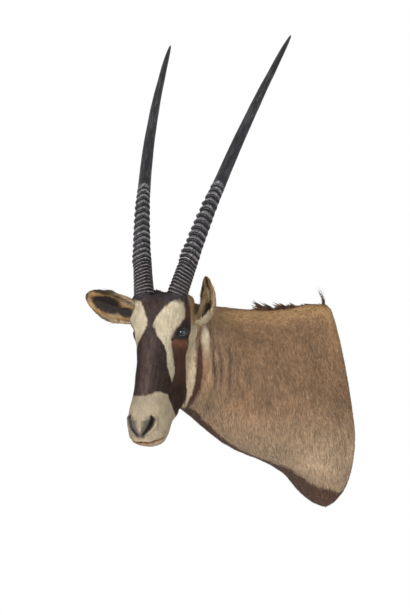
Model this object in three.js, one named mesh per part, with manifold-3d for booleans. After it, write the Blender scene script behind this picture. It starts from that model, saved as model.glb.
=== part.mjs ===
// Gemsbok shoulder mount: head, neck and shoulders over a form, with ringed horns, glass eyes and a
// back board let into the form, so that the whole hangs flat on a wall.
//
// Millimetres. +Z is up, +X is the animal's left, and the mount stands out from the wall towards -Y.
// The origin is the middle of the board's back face, which lies on the wall.

import * as THREE from "three";
import { LoftGeometry } from "three/addons/geometries/LoftGeometry.js";
import { mergeVertices } from "three/addons/utils/BufferGeometryUtils.js";
import Module from "manifold-3d";

const wasm = await Module();
wasm.setup();

// ---- Driving dimensions ---------------------------------------------------------------------------

const FIT_GAP = 0.4; // between the cape and what is set into it
const MESH_GAP = 0.3; // between the hanger's parts and the board
const WALL_CLEARANCE = 2; // the cape's rim stands this far off the wall

// The head group: its origin is midway between the horn axes where they leave the crown.
const HEAD = { x: 105, y: -549, z: 300, nod: 15, turn: 43 };

// The eyeballs, and the almond-shaped openings that turn outwards and forwards over them.
const EYE = { across: 59, down: 91, front: -23, radius: 18.5 };
const ORBIT = { across: 73, down: 91, front: -10, deep: 12, wide: 20, high: 14, forwards: 40 };

// Each horn follows a curve from the crown, by way of its bend, to its tip.
const HORN = { root: [47, 0, 3], bend: [129, -361, -1], tip: [189, -827, -231], buried: 18, sides: 12 };
// Share of the horn's length, radius.
const HORN_TAPER = [
  [-0.03, 26.2],
  [0, 26],
  [0.1, 23.2],
  [0.2, 20.8],
  [0.31, 18.3],
  [0.43, 16.3],
  [0.55, 14.8],
  [0.7, 12.2],
  [0.84, 9.3],
  [0.92, 7.2],
  [0.97, 4.8],
  [1, 1.6],
];
const RINGS = { count: 20, first: 17, tightest: 11.5, widest: 24, height: 2.2, groove: 0.6 };
const SMOOTH_HORN_STATIONS = 11;

const EAR = { thickness: 6, arcPoints: 10, stations: 14, socketGap: 2 };
// Share of the ear's length, radius of its curl, half the angle that the curl spans.
const EAR_CURL = [
  [0, 20, 150],
  [0.16, 25, 140],
  [0.34, 33, 112],
  [0.5, 39, 90],
  [0.66, 42, 70],
  [0.8, 42, 52],
  [0.92, 40, 32],
  [1, 36, 9],
];
const FILLED_CORE = 0.05; // share of the curl's radius that stays open in a filled ear
// The back of each ear runs from its root inside the head to its tip, by way of a bend.
const EARS = {
  right: {
    root: [-42, 26, -90],
    bend: [-128, 20, -104],
    tip: [-250, -17, -45],
    opening: [-0.12, 0.22, 0.95],
    breadth: 1,
  },
  left: {
    root: [58, 66, -92],
    bend: [146, 28, -112],
    tip: [63, -88, -120],
    opening: [-0.62, 0.1, 0.78],
    breadth: 0.86,
  },
};

// The head's cross-sections, down the line from crown to chin: how far down, the front of the face,
// the back or underside, half the width, the level of the widest point, and how square the front and
// the back halves are (below 1 is square, 1 is an ellipse).
const HEAD_STATIONS = [
  [-28, -48, -92, 34, -70, 1, 1],
  [-20, -14, -104, 56, -70, 1.15, 0.9],
  [-5, 14, -112, 63, -56, 0.95, 0.9],
  [15, 28, -120, 68, -25, 0.8, 0.9],
  [45, 37, -133, 76, -15, 0.8, 0.9],
  [66, 40, -137, 79, -12, 0.88, 0.9],
  [90, 41, -139, 76, -27, 1.08, 0.9],
  [112, 41, -138, 69, -28, 1.1, 0.9],
  [138, 41, -134, 59, -30, 1.05, 0.9],
  [170, 41, -136, 54.5, -32, 1.02, 0.75],
  [210, 40, -140, 52, -32, 1.05, 0.64],
  [250, 40, -137, 49, -30, 1.02, 0.62],
  [270, 40, -120, 48.5, -27, 0.95, 0.72],
  [290, 39.5, -98, 49, -25, 0.88, 0.82],
  [310, 39, -86, 50, -25, 0.8, 0.85],
  [335, 37, -75, 50, -25, 0.75, 0.85],
  [355, 33, -68, 47.5, -22, 0.75, 0.85],
  [370, 25, -60, 43, -20, 0.8, 0.85],
  [380, 17, -50, 36, -18, 0.85, 0.9],
  [388, 4, -34, 18, -15, 1, 1],
];
const HEAD_SIDES = 26;
const HEAD_SPACING = 20;

// The neck's cross-sections, out from the wall: how far out, the middle's place across, the turn of
// the section in degrees, top, bottom, half the width, the level of the widest point, and how narrow
// the crest and the underside are (above 1 is pinched, 1 is an ellipse).
const NECK_STATIONS = [
  [0, 0, 0, 268, -262, 148, -75, 1.6, 1.02],
  [20, 0, 0, 284, -279, 152, -75, 1.55, 1.02],
  [50, 0, 0, 284, -271, 152, -70, 1.5, 1],
  [85, 0, 0, 280, -242, 148, -55, 1.45, 1],
  [118, 0, 0, 275, -204, 143, -30, 1.4, 1],
  [170, 1, 0, 269, -168, 133, -5, 1.35, 1],
  [220, 2, 0, 267, -145, 122, 20, 1.3, 1],
  [270, 4, 0, 268, -123, 112, 45, 1.25, 1],
  [325, 8, 3, 272, -96, 102, 75, 1.2, 1],
  [375, 15, 9, 277, -60, 94, 105, 1.15, 1],
  [420, 27, 20, 281, -22, 88, 125, 1.05, 1],
  [460, 43, 33, 278, 8, 78, 140, 1, 1],
  [500, 62, 42, 262, 24, 62, 145, 1, 1],
];
const NECK_SIDES = 32;
const NECK_SPACING = 28;

// The board follows the outline of the cape's back, inside its rim.
const BOARD = {
  thickness: 16,
  half: 118,
  top: 232,
  bottom: -228,
  widest: -75,
  crest: 1.5,
  foot: 1,
  sides: 40,
};

// A keyhole plate screwed into a seat in the board's back, with a deeper pocket behind its slot.
const HANGER = { width: 64, height: 30, thickness: 2, seat: 5, up: 150, margin: 1 };
const KEYHOLE = { head: 5.5, neck: 2.8, rise: 10, drop: 3 };
const HANGER_POCKET = { width: 26, height: 24, depth: 13 };
const SCREW = { across: 22, head: 3.6, headHeight: 1.6, shank: 1.8, bite: 8 };
const TURNED_SIDES = 12;

// ---- Helpers --------------------------------------------------------------------------------------

const radians = THREE.MathUtils.degToRad;

/** A point of the head group from its place across to the left, down the face and out to the front. */
function headPoint(across, down, front) {
  return new THREE.Vector3(across, -front, -down);
}

/** A closed geometry as a solid, with its faces turned outwards. */
function solidOf(geometry) {
  const bare = new THREE.BufferGeometry().setIndex(geometry.index);
  bare.setAttribute("position", geometry.attributes.position);
  const merged = mergeVertices(bare, 1e-4);
  const corners = Array.from(merged.index.array);
  const faces = [];
  for (let i = 0; i < corners.length; i += 3) {
    const face = corners.slice(i, i + 3);
    if (new Set(face).size === 3) faces.push(face);
  }
  const vertProperties = Float32Array.from(merged.attributes.position.array);
  const make = (list) =>
    new wasm.Manifold(new wasm.Mesh({ numProp: 3, vertProperties, triVerts: Uint32Array.from(list.flat()) }));
  const solid = make(faces);
  return solid.volume() > 0 ? solid : make(faces.map((face) => face.reverse()));
}

/** A solid as a geometry with flat faces. */
function geometryOf(solid) {
  const mesh = solid.getMesh();
  const geometry = new THREE.BufferGeometry();
  geometry.setAttribute("position", new THREE.BufferAttribute(mesh.vertProperties, 3));
  geometry.setIndex(new THREE.BufferAttribute(mesh.triVerts, 1));
  geometry.computeVertexNormals();
  return geometry;
}

/** Smooth values between the rows of a table whose first column says where each row stands. */
function smoothTable(rows) {
  const curve = new THREE.CubicInterpolant(
    Float32Array.from(rows.map((row) => row[0])),
    Float32Array.from(rows.flatMap((row) => row.slice(1))),
    rows[0].length - 1,
  );
  return (place) => Array.from(curve.evaluate(place));
}

/** The places of a table's rows, with more between them where they stand far apart. */
function placesAlong(rows, spacing) {
  const places = [rows[0][0]];
  rows.slice(1).forEach((row, i) => {
    const start = rows[i][0];
    const steps = Math.ceil((row[0] - start) / spacing);
    for (let step = 1; step <= steps; step++) places.push(start + ((row[0] - start) * step) / steps);
  });
  return places;
}

/**
 * A closed cross-section made of two half superellipses that meet at the widest level. The place
 * function turns a distance across and a level into a point.
 */
function crossSection({ sides, half, high, low, widest, highPower, lowPower }, place) {
  return Array.from({ length: sides }, (_, i) => {
    const angle = (2 * Math.PI * i) / sides;
    const upper = Math.sin(angle) >= 0;
    const power = upper ? highPower : lowPower;
    const reach = upper ? high - widest : widest - low;
    const across = half * Math.sign(Math.cos(angle)) * Math.abs(Math.cos(angle)) ** power;
    const level = Math.sign(Math.sin(angle)) * reach * Math.abs(Math.sin(angle)) ** power;
    return place(across, widest + level);
  });
}

/** A closed solid through a row of cross-sections, whichever way round their points run. */
function loft(sections) {
  const [first, second] = sections;
  const area = new THREE.Vector3();
  const onwards = new THREE.Vector3();
  first.forEach((point, i) => {
    area.add(new THREE.Vector3().crossVectors(point, first[(i + 1) % first.length]));
    onwards.add(second[i]).sub(point);
  });
  const ordered = area.dot(onwards) > 0 ? sections : sections.map((section) => section.toReversed());
  return solidOf(new LoftGeometry(ordered, { capStart: true, capEnd: true }));
}

/** A turned solid about an axis that points out of the wall, from radius and place pairs. */
function turned(profile, x, z) {
  const outline = profile.map(([radius, y]) => new THREE.Vector2(radius, y));
  const geometry = new THREE.LatheGeometry(outline, TURNED_SIDES);
  return solidOf(geometry.translate(x, 0, z));
}

/** A solid of one thickness whose back lies in the plane of the wall, moved off it by a depth. */
function slab(outline, thickness, depth = 0) {
  const geometry = new THREE.ExtrudeGeometry(outline, {
    depth: thickness,
    bevelEnabled: false,
    curveSegments: TURNED_SIDES / 2,
  });
  return solidOf(geometry.rotateX(Math.PI / 2).translate(0, -depth, 0));
}

// ---- Cape -----------------------------------------------------------------------------------------

function neckSolid() {
  const at = smoothTable(NECK_STATIONS);
  return loft(
    placesAlong(NECK_STATIONS, NECK_SPACING).map((out) => {
      const [middle, turn, top, bottom, half, widest, highPower, lowPower] = at(out);
      const y = -WALL_CLEARANCE - out;
      const [c, s] = [Math.cos(radians(turn)), Math.sin(radians(turn))];
      return crossSection(
        { sides: NECK_SIDES, half, high: top, low: bottom, widest, highPower, lowPower },
        (across, level) => new THREE.Vector3(middle + across * c, y + across * s, level),
      );
    }),
  );
}

function headSolid() {
  const at = smoothTable(HEAD_STATIONS);
  return loft(
    placesAlong(HEAD_STATIONS, HEAD_SPACING).map((down) => {
      const [front, back, half, widest, highPower, lowPower] = at(down);
      return crossSection(
        { sides: HEAD_SIDES, half, high: front, low: back, widest, highPower, lowPower },
        (across, level) => headPoint(across, down, level),
      );
    }),
  );
}

/** The almond-shaped hollow between the lids that shows the eyeball. */
function orbitSolid(side) {
  const hollow = new THREE.SphereGeometry(1, 14, 8);
  hollow.scale(ORBIT.deep, ORBIT.wide, ORBIT.high);
  hollow.rotateZ(-side * radians(ORBIT.forwards));
  return solidOf(hollow.translate(...headPoint(side * ORBIT.across, ORBIT.down, ORBIT.front)));
}

// ---- Eyes, horns and ears, in the head group ------------------------------------------------------

function eyeSolid(side, grown = 0) {
  const ball = new THREE.SphereGeometry(EYE.radius + grown, 16, 10);
  const middle = headPoint(side * EYE.across, EYE.down, EYE.front);
  return solidOf(ball.translate(...middle));
}

function hornCurve(side) {
  const [root, bend, tip] = [HORN.root, HORN.bend, HORN.tip].map(([across, down, front]) =>
    headPoint(side * across, down, front),
  );
  return new THREE.QuadraticBezierCurve3(root, bend, tip);
}

/** The horn's stations: share of its length and radius, with a groove and a ridge for each ring. */
function hornStations(length) {
  const taper = smoothTable(HORN_TAPER);
  const radiusAt = (place) => taper(place)[0];
  const buried = -HORN.buried / length;
  const stations = [[buried, radiusAt(buried)]];
  let along = RINGS.first;
  for (let ring = 0; ring < RINGS.count; ring++) {
    const step = THREE.MathUtils.lerp(RINGS.tightest, RINGS.widest, ring / (RINGS.count - 1));
    const [groove, ridge] = [(along - step / 2) / length, along / length];
    const height = RINGS.height * (1 - ring / (2 * RINGS.count));
    stations.push([groove, radiusAt(groove) - RINGS.groove], [ridge, radiusAt(ridge) + height]);
    along += step;
  }
  const start = (along - RINGS.widest / 2) / length;
  for (let i = 0; i < SMOOTH_HORN_STATIONS; i++) {
    const place = THREE.MathUtils.lerp(start, 1, i / (SMOOTH_HORN_STATIONS - 1));
    stations.push([place, radiusAt(place)]);
  }
  return stations;
}

function hornSolid(side, grown = 0) {
  const curve = hornCurve(side);
  const length = curve.getLength();
  const sections = hornStations(length).map(([place, radius]) => {
    const inside = Math.max(place, 0);
    const along = curve.getTangentAt(inside);
    const middle = curve.getPointAt(inside).addScaledVector(along, Math.min(place, 0) * (length + grown));
    const front = headPoint(0, 0, 1).projectOnPlane(along).normalize();
    const across = new THREE.Vector3().crossVectors(front, along);
    return Array.from({ length: HORN.sides }, (_, i) => {
      const angle = (2 * Math.PI * i) / HORN.sides;
      return middle
        .clone()
        .addScaledVector(across, (radius + grown) * Math.cos(angle))
        .addScaledVector(front, (radius + grown) * Math.sin(angle));
    });
  });
  return loft(sections);
}

/** An ear: a leaf curled into a cup round its back line. A filled ear has no hollow. */
function earSolid({ root, bend, tip, opening, breadth }, { grown = 0, filled = false } = {}) {
  const curve = new THREE.QuadraticBezierCurve3(headPoint(...root), headPoint(...bend), headPoint(...tip));
  const along = headPoint(...tip).sub(headPoint(...root)).normalize();
  const out = headPoint(...opening).projectOnPlane(along).normalize();
  const across = new THREE.Vector3().crossVectors(along, out);
  const curl = smoothTable(EAR_CURL);
  const last = EAR.stations - 1;
  const sections = Array.from({ length: EAR.stations }, (_, i) => {
    const place = i / last;
    const [curled, spread] = curl(place);
    const radius = curled * breadth;
    const past = i === 0 ? -grown : i === last ? grown : 0;
    const spine = curve.getPointAt(place).addScaledVector(curve.getTangentAt(place), past);
    const middle = spine.addScaledVector(out, radius);
    const arc = (size) =>
      Array.from({ length: EAR.arcPoints }, (_, j) => {
        const edge = j === 0 ? -1 : j === EAR.arcPoints - 1 ? 1 : 0;
        const angle = radians(spread) * ((2 * j) / (EAR.arcPoints - 1) - 1) + (edge * grown) / radius;
        return middle
          .clone()
          .addScaledVector(across, size * Math.sin(angle))
          .addScaledVector(out, -size * Math.cos(angle));
      });
    const inner = filled ? radius * FILLED_CORE : radius - EAR.thickness - grown;
    return [...arc(radius + grown), ...arc(inner).reverse()];
  });
  return loft(sections);
}

// ---- Board and hanger -----------------------------------------------------------------------------

function boardBlank(grown = 0) {
  const outline = crossSection(
    {
      sides: BOARD.sides,
      half: BOARD.half + grown,
      high: BOARD.top + grown,
      low: BOARD.bottom - grown,
      widest: BOARD.widest,
      highPower: BOARD.crest,
      lowPower: BOARD.foot,
    },
    (across, level) => new THREE.Vector2(across, level),
  );
  return slab(new THREE.Shape(outline), BOARD.thickness + grown);
}

/** The hanger's outline: a bar with round ends. */
function hangerOutline(grown = 0) {
  const round = HANGER.height / 2 + grown;
  const straight = (HANGER.width - HANGER.height) / 2;
  return new THREE.Shape()
    .absarc(straight, HANGER.up, round, -Math.PI / 2, Math.PI / 2)
    .absarc(-straight, HANGER.up, round, Math.PI / 2, (3 * Math.PI) / 2);
}

/** A shape with square corners, centred on the hanger's middle or above it. */
function rectangle(width, low, high) {
  return new THREE.Shape(
    [[-1, low], [1, low], [1, high], [-1, high]].map(
      ([side, level]) => new THREE.Vector2((side * width) / 2, HANGER.up + level),
    ),
  );
}

const plateDepth = HANGER.seat - HANGER.thickness - MESH_GAP;

/** A cutter that runs through the plate's thickness and past both its faces. */
function keyholeSolid() {
  const round = [[0, -HANGER.seat], [KEYHOLE.head, -HANGER.seat], [KEYHOLE.head, 0], [0, 0]];
  return turned(round, 0, HANGER.up - KEYHOLE.drop).add(
    slab(rectangle(2 * KEYHOLE.neck, -KEYHOLE.drop, KEYHOLE.rise), HANGER.seat),
  );
}

function screwHole(side, radius, deep) {
  return turned([[0, -deep], [radius, -deep], [radius, 0], [0, 0]], side * SCREW.across, HANGER.up);
}

function plateSolid() {
  return [-1, 1].reduce(
    (plate, side) => plate.subtract(screwHole(side, SCREW.shank + MESH_GAP, HANGER.seat)),
    slab(hangerOutline(), HANGER.thickness, plateDepth).subtract(keyholeSolid()),
  );
}

function boardSolid() {
  const { width, height, depth } = HANGER_POCKET;
  const seat = slab(hangerOutline(HANGER.margin), HANGER.seat);
  const pocket = slab(rectangle(width, -height / 2, height / 2), depth);
  return [-1, 1].reduce(
    (board, side) =>
      board.subtract(
        screwHole(side, SCREW.shank + MESH_GAP, HANGER.seat + SCREW.bite + MESH_GAP),
      ),
    boardBlank().subtract(seat).subtract(pocket),
  );
}

function screwSolid(side) {
  const under = -plateDepth + MESH_GAP;
  const tip = -HANGER.seat - SCREW.bite;
  const profile = [
    [0, tip],
    [SCREW.shank, tip + 2 * SCREW.shank],
    [SCREW.shank, under],
    [SCREW.head, under],
    [0.85 * SCREW.head, under + SCREW.headHeight],
    [0, under + SCREW.headHeight],
  ];
  return turned(profile, side * SCREW.across, HANGER.up);
}

// ---- Assembly -------------------------------------------------------------------------------------

const finishes = {
  hide: new THREE.MeshStandardMaterial({ color: 0x8a6a4a, roughness: 0.9 }),
  horn: new THREE.MeshStandardMaterial({ color: 0x2c2826, roughness: 0.45 }),
  glass: new THREE.MeshStandardMaterial({ color: 0x1c1f2b, roughness: 0.05 }),
  plywood: new THREE.MeshStandardMaterial({ color: 0xc2a47a, roughness: 0.75 }),
  steel: new THREE.MeshStandardMaterial({ color: 0xb9bcc0, roughness: 0.35, metalness: 1 }),
};

function piece(name, solid, finish) {
  const mesh = new THREE.Mesh(geometryOf(solid), finish);
  mesh.name = name;
  return mesh;
}

const SIDES = { right: -1, left: 1 };

const head = new THREE.Group();
head.position.set(HEAD.x, HEAD.y, HEAD.z);
head.rotation.set(radians(-HEAD.nod), 0, radians(HEAD.turn), "ZXY");
head.updateMatrixWorld();

const setIn = wasm.Manifold.union(
  Object.entries(SIDES).flatMap(([name, side]) => [
    orbitSolid(side),
    eyeSolid(side, FIT_GAP),
    hornSolid(side, FIT_GAP),
    earSolid(EARS[name], { grown: EAR.socketGap, filled: true }),
  ]),
).transform(head.matrixWorld.toArray());

const cape = headSolid()
  .transform(head.matrixWorld.toArray())
  .add(neckSolid())
  .subtract(setIn)
  .subtract(boardBlank(FIT_GAP));

const group = new THREE.Group();
group.add(piece("cape", cape, finishes.hide), head);
for (const [name, side] of Object.entries(SIDES)) {
  head.add(
    piece(`${name}_horn`, hornSolid(side), finishes.horn),
    piece(`${name}_ear`, earSolid(EARS[name]), finishes.hide),
    piece(`${name}_eye`, eyeSolid(side), finishes.glass),
  );
  group.add(piece(`hanger_screw_${name}`, screwSolid(side), finishes.steel));
}
group.add(
  piece("back_board", boardSolid(), finishes.plywood),
  piece("hanger_plate", plateSolid(), finishes.steel),
);

export default group;
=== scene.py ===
"""Finishes a gemsbok shoulder mount: hide with its markings and coat, ringed horns, ears, glass eyes,
back board and hanger, on a plain studio stage.

The head's own measures are in millimetres: across to the animal's left, down the face and out to the
front, from the point between the horns. Meshes are in metres, with +Z up and the wall at y = 0.
"""

import math
from contextlib import contextmanager

import bmesh
import bpy
import numpy as np
from bpy.props import FloatProperty, FloatVectorProperty, IntProperty, PointerProperty
from mathutils import Matrix, Vector


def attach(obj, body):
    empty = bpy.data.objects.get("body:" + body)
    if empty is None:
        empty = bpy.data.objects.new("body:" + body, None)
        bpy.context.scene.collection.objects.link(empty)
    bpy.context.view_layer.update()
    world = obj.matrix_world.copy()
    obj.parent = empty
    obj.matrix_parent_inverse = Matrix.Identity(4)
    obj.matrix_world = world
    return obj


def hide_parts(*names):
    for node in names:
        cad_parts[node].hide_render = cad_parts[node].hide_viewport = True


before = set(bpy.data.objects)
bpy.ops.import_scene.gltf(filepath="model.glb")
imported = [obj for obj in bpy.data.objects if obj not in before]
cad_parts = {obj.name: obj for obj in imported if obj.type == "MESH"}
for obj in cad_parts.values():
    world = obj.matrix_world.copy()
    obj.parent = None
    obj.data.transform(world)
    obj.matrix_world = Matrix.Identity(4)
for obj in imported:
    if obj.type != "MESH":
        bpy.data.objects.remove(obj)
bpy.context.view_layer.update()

bl_info = {
    "name": "Gemsbok Shoulder Mount",
    "version": (1, 0, 0),
    "blender": (4, 5, 0),
    "location": "3D View > Sidebar > Mount",
    "description": "Makes the hide, horns, ears, eyes and stage of a gemsbok shoulder mount",
    "category": "Object",
}

# ---- Measures -------------------------------------------------------------------------------------

MM = 0.001
SIDES = {"right": -1, "left": 1}

# The point between the horns, in metres, and how far the head is turned to its left and nods.
HEAD_PLACE = np.array([0.105, -0.549, 0.300])
HEAD_TURN, HEAD_NOD = math.radians(43), math.radians(15)
UP = np.array([0.0, 0.0, 1.0])
LEVEL_FRONT = np.array([math.sin(HEAD_TURN), -math.cos(HEAD_TURN), 0.0])
ACROSS = np.array([math.cos(HEAD_TURN), math.sin(HEAD_TURN), 0.0])
DOWN = math.sin(HEAD_NOD) * LEVEL_FRONT - math.cos(HEAD_NOD) * UP
FRONT = math.cos(HEAD_NOD) * LEVEL_FRONT + math.sin(HEAD_NOD) * UP
HEAD_AXES = np.array([ACROSS, DOWN, FRONT])

# Each horn's curve, from the crown by way of its bend to its tip, how far its foot is buried in the
# skin, and its radius at shares of the curve.
HORN_CURVE = ((47, 0, 3), (129, -361, -1), (189, -827, -231))
HORN_BURIED = 17.5
HORN_SHARE = (0, 0.1, 0.2, 0.31, 0.43, 0.55, 0.7, 0.84, 0.92, 0.97, 0.99, 1)
HORN_RADIUS = (26, 23.2, 20.8, 18.3, 16.3, 14.8, 12.2, 9.3, 7.2, 4.8, 3.2, 0.7)

# Each ear's root, bend and tip, the way its cup opens, and its breadth against a full one.
EARS = {
    "right": ((-42, 26, -90), (-128, 20, -104), (-250, -17, -45), (-0.12, 0.22, 0.95), 1.0),
    "left": ((58, 66, -92), (146, 28, -112), (63, -88, -120), (-0.62, 0.1, 0.78), 0.86),
}
# Radius of the ears at shares of their length, and how far round their cups reach there, in degrees.
EAR_SHARE = (0, 0.16, 0.34, 0.5, 0.66, 0.8, 0.92, 0.975, 1)
EAR_RADIUS = (20, 25, 33, 39, 42, 42, 40, 38, 36)
EAR_SPREAD = {
    "right": (150, 140, 112, 90, 70, 52, 35, 21, 9),
    "left": (150, 116, 90, 78, 66, 50, 35, 21, 9),
}
# How far the near side of each cup reaches round, against its far side.
EAR_NEAR = {"right": (1,) * 9, "left": (1, 0.78, 0.70, 0.72, 0.86, 1, 1, 1, 1)}
# Rows of points along an ear and points across it.
EAR_STATIONS, EAR_ARC = 64, 45
# Painted shade inside each ear's cup, with its darker hair: share of the ear's length, place across
# the cup, the reach of each, and how dark it is.
EAR_SHADE_AND_DARK_HAIR = {
    "right": (
        (0.73, -0.08, 0.21, 0.66, 1.0), (0.45, -0.15, 0.12, 0.26, 1.0), (0.66, 0.92, 0.36, 0.17, 0.85),
    ),
    "left": (
        (0.40, -0.38, 0.16, 0.44, 1.0), (0.58, -0.12, 0.14, 0.22, 0.9), (0.80, -1.0, 0.16, 0.17, 0.95),
        (0.87, 0.05, 0.13, 0.50, 0.85),
    ),
}
# Painted highlights on the folds and pale tufts inside each ear, given in the same way.
EAR_HIGHLIGHTS_AND_TUFTS = {
    "right": ((0.43, 0.45, 0.13, 0.32, 0.45), (0.54, -0.62, 0.10, 0.22, 0.4)),
    "left": ((0.70, -0.45, 0.12, 0.16, 0.85), (0.50, -0.98, 0.10, 0.14, 0.6)),
}

# The eyeball, the way it looks and the slope of its lids, on the animal's left side.
EYE_PLACE = np.array([59, 91, -23])
EYE_RADIUS = 18.5
EYE_GAZE = np.array([0.62, 0.05, 0.78])
EYE_SLIT = np.array([-0.55, 0.42, 0.72])
# Half the length of the opening between the lids and the height of the ring round it, how far each
# lid is open, how thick the lids are and how far they reach out over the skin.
LID = {"long": 17.2, "height": 9.5, "upper": 9.0, "lower": 7.6, "thick": 2.2, "reach": 13.0}
# The bare skin that runs from the front corner of the left eye.
TEAR_DUCT = ((62, 99, 4), (52, 114, 13))
# How far forward the head starts in front of the neck, going down the face.
HEAD_REAR = ((-60, -120), (30, -125), (90, -128), (190, -142), (260, -165))

# Soft mounds that close the sockets in the skin: place, and size across, down and to the front.
SOCKET_FILLS = (
    ((48, 9, 3), (31, 18, 30)),
    ((-48, 9, 3), (31, 18, 30)),
    ((65, 91, -14), (11, 16, 22)),
    ((-65, 91, -14), (11, 16, 22)),
    ((-50, 24, -76), (22, 28, 27)),
    ((62, 56, -84), (20, 28, 26)),
)

# Swells and hollows of the left side of the face: place, spread and height.
FACE_SWELLS = (
    ((70, 68, -2), 14, 3.0),
    ((50, 112, 22), 14, 1.6),
    ((56, 128, 0), 12, -2.4),
    ((62, 122, -46), 24, 2.6),
    ((52, 182, -72), 36, 2.4),
    ((44, 176, 12), 24, -2.4),
    ((47, 235, -20), 26, -1.6),
    ((40, 300, 20), 18, 1.6),
    ((36, 326, 26), 10, 2.6),
    ((44, 352, -10), 16, 1.8),
    ((0, 330, 40), 16, 1.2),
    ((0, -16, -14), 23, -15.0),
    ((34, 268, -118), 18, 7.0),
    ((42, 289, -76), 21, 8.5),
)
# The middle line of the left nostril, with its depth and half its width there, and the left half of
# the line where the lips meet.
NOSTRIL = ((30, 322, 31), (33, 329, 29), (31, 340, 29), (25, 351, 28), (16, 361, 27), (8, 369, 25))
NOSTRIL_DEPTH = (3, 8, 9.5, 7, 4, 1)
NOSTRIL_WIDTH = (3.2, 5.2, 5.6, 4.4, 3.2, 1.8)
MOUTH = (
    (0, 384, 8), (6, 385, 7), (20, 382, 3), (33, 378, 2), (41, 373, -7), (45, 368, -14), (48, 359, -24),
    (50, 345, -38), (50, 325, -50),
)

# Where the dark blaze ends and where the dark eye stripe starts, in degrees round the face from its
# middle, going down the face.
BLAZE_EDGE = (
    (-40, 80), (0, 66), (9, 50), (15, 39), (22, 31.5), (30, 26.5), (40, 21), (53, 15), (70, 8), (84, 4.5),
    (92, 6), (104, 11), (116, 17), (125, 25), (133, 31), (150, 35), (170, 39), (190, 44), (203, 51),
    (213, 60), (220, 70),
)
EYE_STRIPE_START = (
    (-20, 38), (8, 41), (15, 47), (22, 54), (31, 59), (54, 59), (69, 54), (80, 50), (90, 45), (98, 42),
    (114, 39), (125, 43), (140, 47), (150, 50), (164, 57), (180, 63), (196, 66), (214, 67), (220, 64),
)
# How far forward the cream band behind the eye stripe starts and ends, going down the cheek.
CREAM_START = (
    (-20, -36), (8, -34), (52, -31), (67, -31), (94, -32), (104, -42), (112, -50), (135, -63), (160, -77),
    (186, -91), (208, -112), (230, -135), (250, -158),
)
CREAM_END = (
    (-20, -58), (40, -60), (63, -68), (78, -84), (91, -95), (142, -107), (172, -117), (218, -140),
    (244, -155), (260, -172),
)
# How far down the face the pale muzzle starts, going round it from the right to the left.
MUZZLE_START = (
    (-180, 308), (-125, 302), (-105, 296), (-88, 283), (-60, 271), (-30, 266), (-8, 268), (8, 268),
    (15, 263), (22, 256), (32, 252), (54, 255), (65, 266), (88, 283), (105, 296), (125, 302), (180, 308),
)
# Lines down the side of the neck and along its underside: places, and half the width at each.
JAW_STRIPE = (
    (73, 86, -105), (75, 112, -109), (75, 140, -117), (73, 165, -124), (64, 205, -141), (48, 232, -153),
    (30, 250, -166),
)
JAW_WIDTH = (1, 5.5, 8, 9.5, 9, 6.5, 4)
CREAM_FOLD = ((80, 50, -110), (84, 100, -124), (88, 136, -133), (84, 175, -148), (78, 215, -165))
FOLD_WIDTH = (10, 9, 8, 7, 4)
THROAT_LINE = (
    (0.044, -0.452, 0.004), (0.034, -0.425, -0.022), (0.026, -0.395, -0.046), (0.018, -0.365, -0.066),
    (0.012, -0.325, -0.090), (0.008, -0.285, -0.113), (0.005, -0.238, -0.135), (0.003, -0.189, -0.155),
    (0.0, -0.120, -0.205),
)
THROAT_WIDTH = (0.021, 0.021, 0.023, 0.021, 0.021, 0.025, 0.028, 0.034, 0.036)
# Creases, and one raised fold, in the loose skin behind the jaw: distance from the wall, depth, half
# the width and lean.
NECK_FOLDS = (
    (0.421, -3.4, 0.008, 0.02), (0.402, 5.0, 0.006, 0.02), (0.381, 3.6, 0.006, -0.04),
    (0.357, 4.2, 0.007, 0.03), (0.328, 2.8, 0.007, -0.02), (0.300, 1.6, 0.009, 0.06),
)
# Lighter and darker places on the neck: distance from the wall, height, reach each way and change.
NECK_TONES = (
    (0.285, -0.03, 0.05, 0.045, 0.28), (0.12, -0.15, 0.05, 0.035, 0.25), (0.20, 0.08, 0.10, 0.06, -0.12),
    (0.06, 0.03, 0.05, 0.03, -0.18), (0.33, 0.02, 0.03, 0.06, 0.2),
)
# Height of the top of the dark brisket, going out from the wall.
BRISKET_EDGE = (
    (0.0, -0.228), (0.03, -0.223), (0.096, -0.205), (0.136, -0.176), (0.16, -0.160), (0.2, -0.15),
)
# How high the top of the neck is, and how far its middle lies to the left, going out from the wall.
NECK_TOP = ((0, 0.268), (0.05, 0.284), (0.17, 0.269), (0.32, 0.272), (0.5, 0.262))
CREST_MIDDLE = ((0, 0), (0.32, 0.008), (0.42, 0.027), (0.46, 0.043), (0.5, 0.062))
# Tufts of the mane: distance from the wall, half the length of the tuft, and fullness.
TUFTS = ((0.200, 0.028, 1.0), (0.142, 0.032, 0.65), (0.085, 0.040, 0.10), (0.40, 0.05, 0.05))
# The looks of each kind of hair: the colour of its flecks, its contrast, how many streaks fit in a
# metre and the share of flecks.
HAIR_LOOKS = {
    "face hair": ((0.16, 0.095, 0.070), 0.26, 220, 0.20),
    "neck hair": ((0.52, 0.38, 0.25), 0.30, 140, 0.20),
    "mane hair": ((0.30, 0.18, 0.08), 0.30, 160, 0.30),
    "ear hair": ((0.42, 0.26, 0.11), 0.40, 300, 0.12),
}
# The hairs of each coat: their width in metres, how far they lift off the skin and how far they stray.
HAIR_FORMS = {
    "face": (0.0011, 0.20, 0.25),
    "neck": (0.0016, 0.14, 0.16),
    "mane": (0.0011, 0.10, 0.16),
    "ear": (0.0010, 0.20, 0.20),
    "ear lining": (0.0010, 0.35, 0.30),
}
# The short hairs on an ear and their length, and the long hairs in it.
EAR_HAIRS, EAR_HAIR_LENGTH, EAR_LINING_HAIRS = 16000, 0.0055, 5200


# ---- Settings -------------------------------------------------------------------------------------


def length(name, description, default):
    return FloatProperty(name=name, description=description, default=default, min=0, unit="LENGTH")


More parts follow.
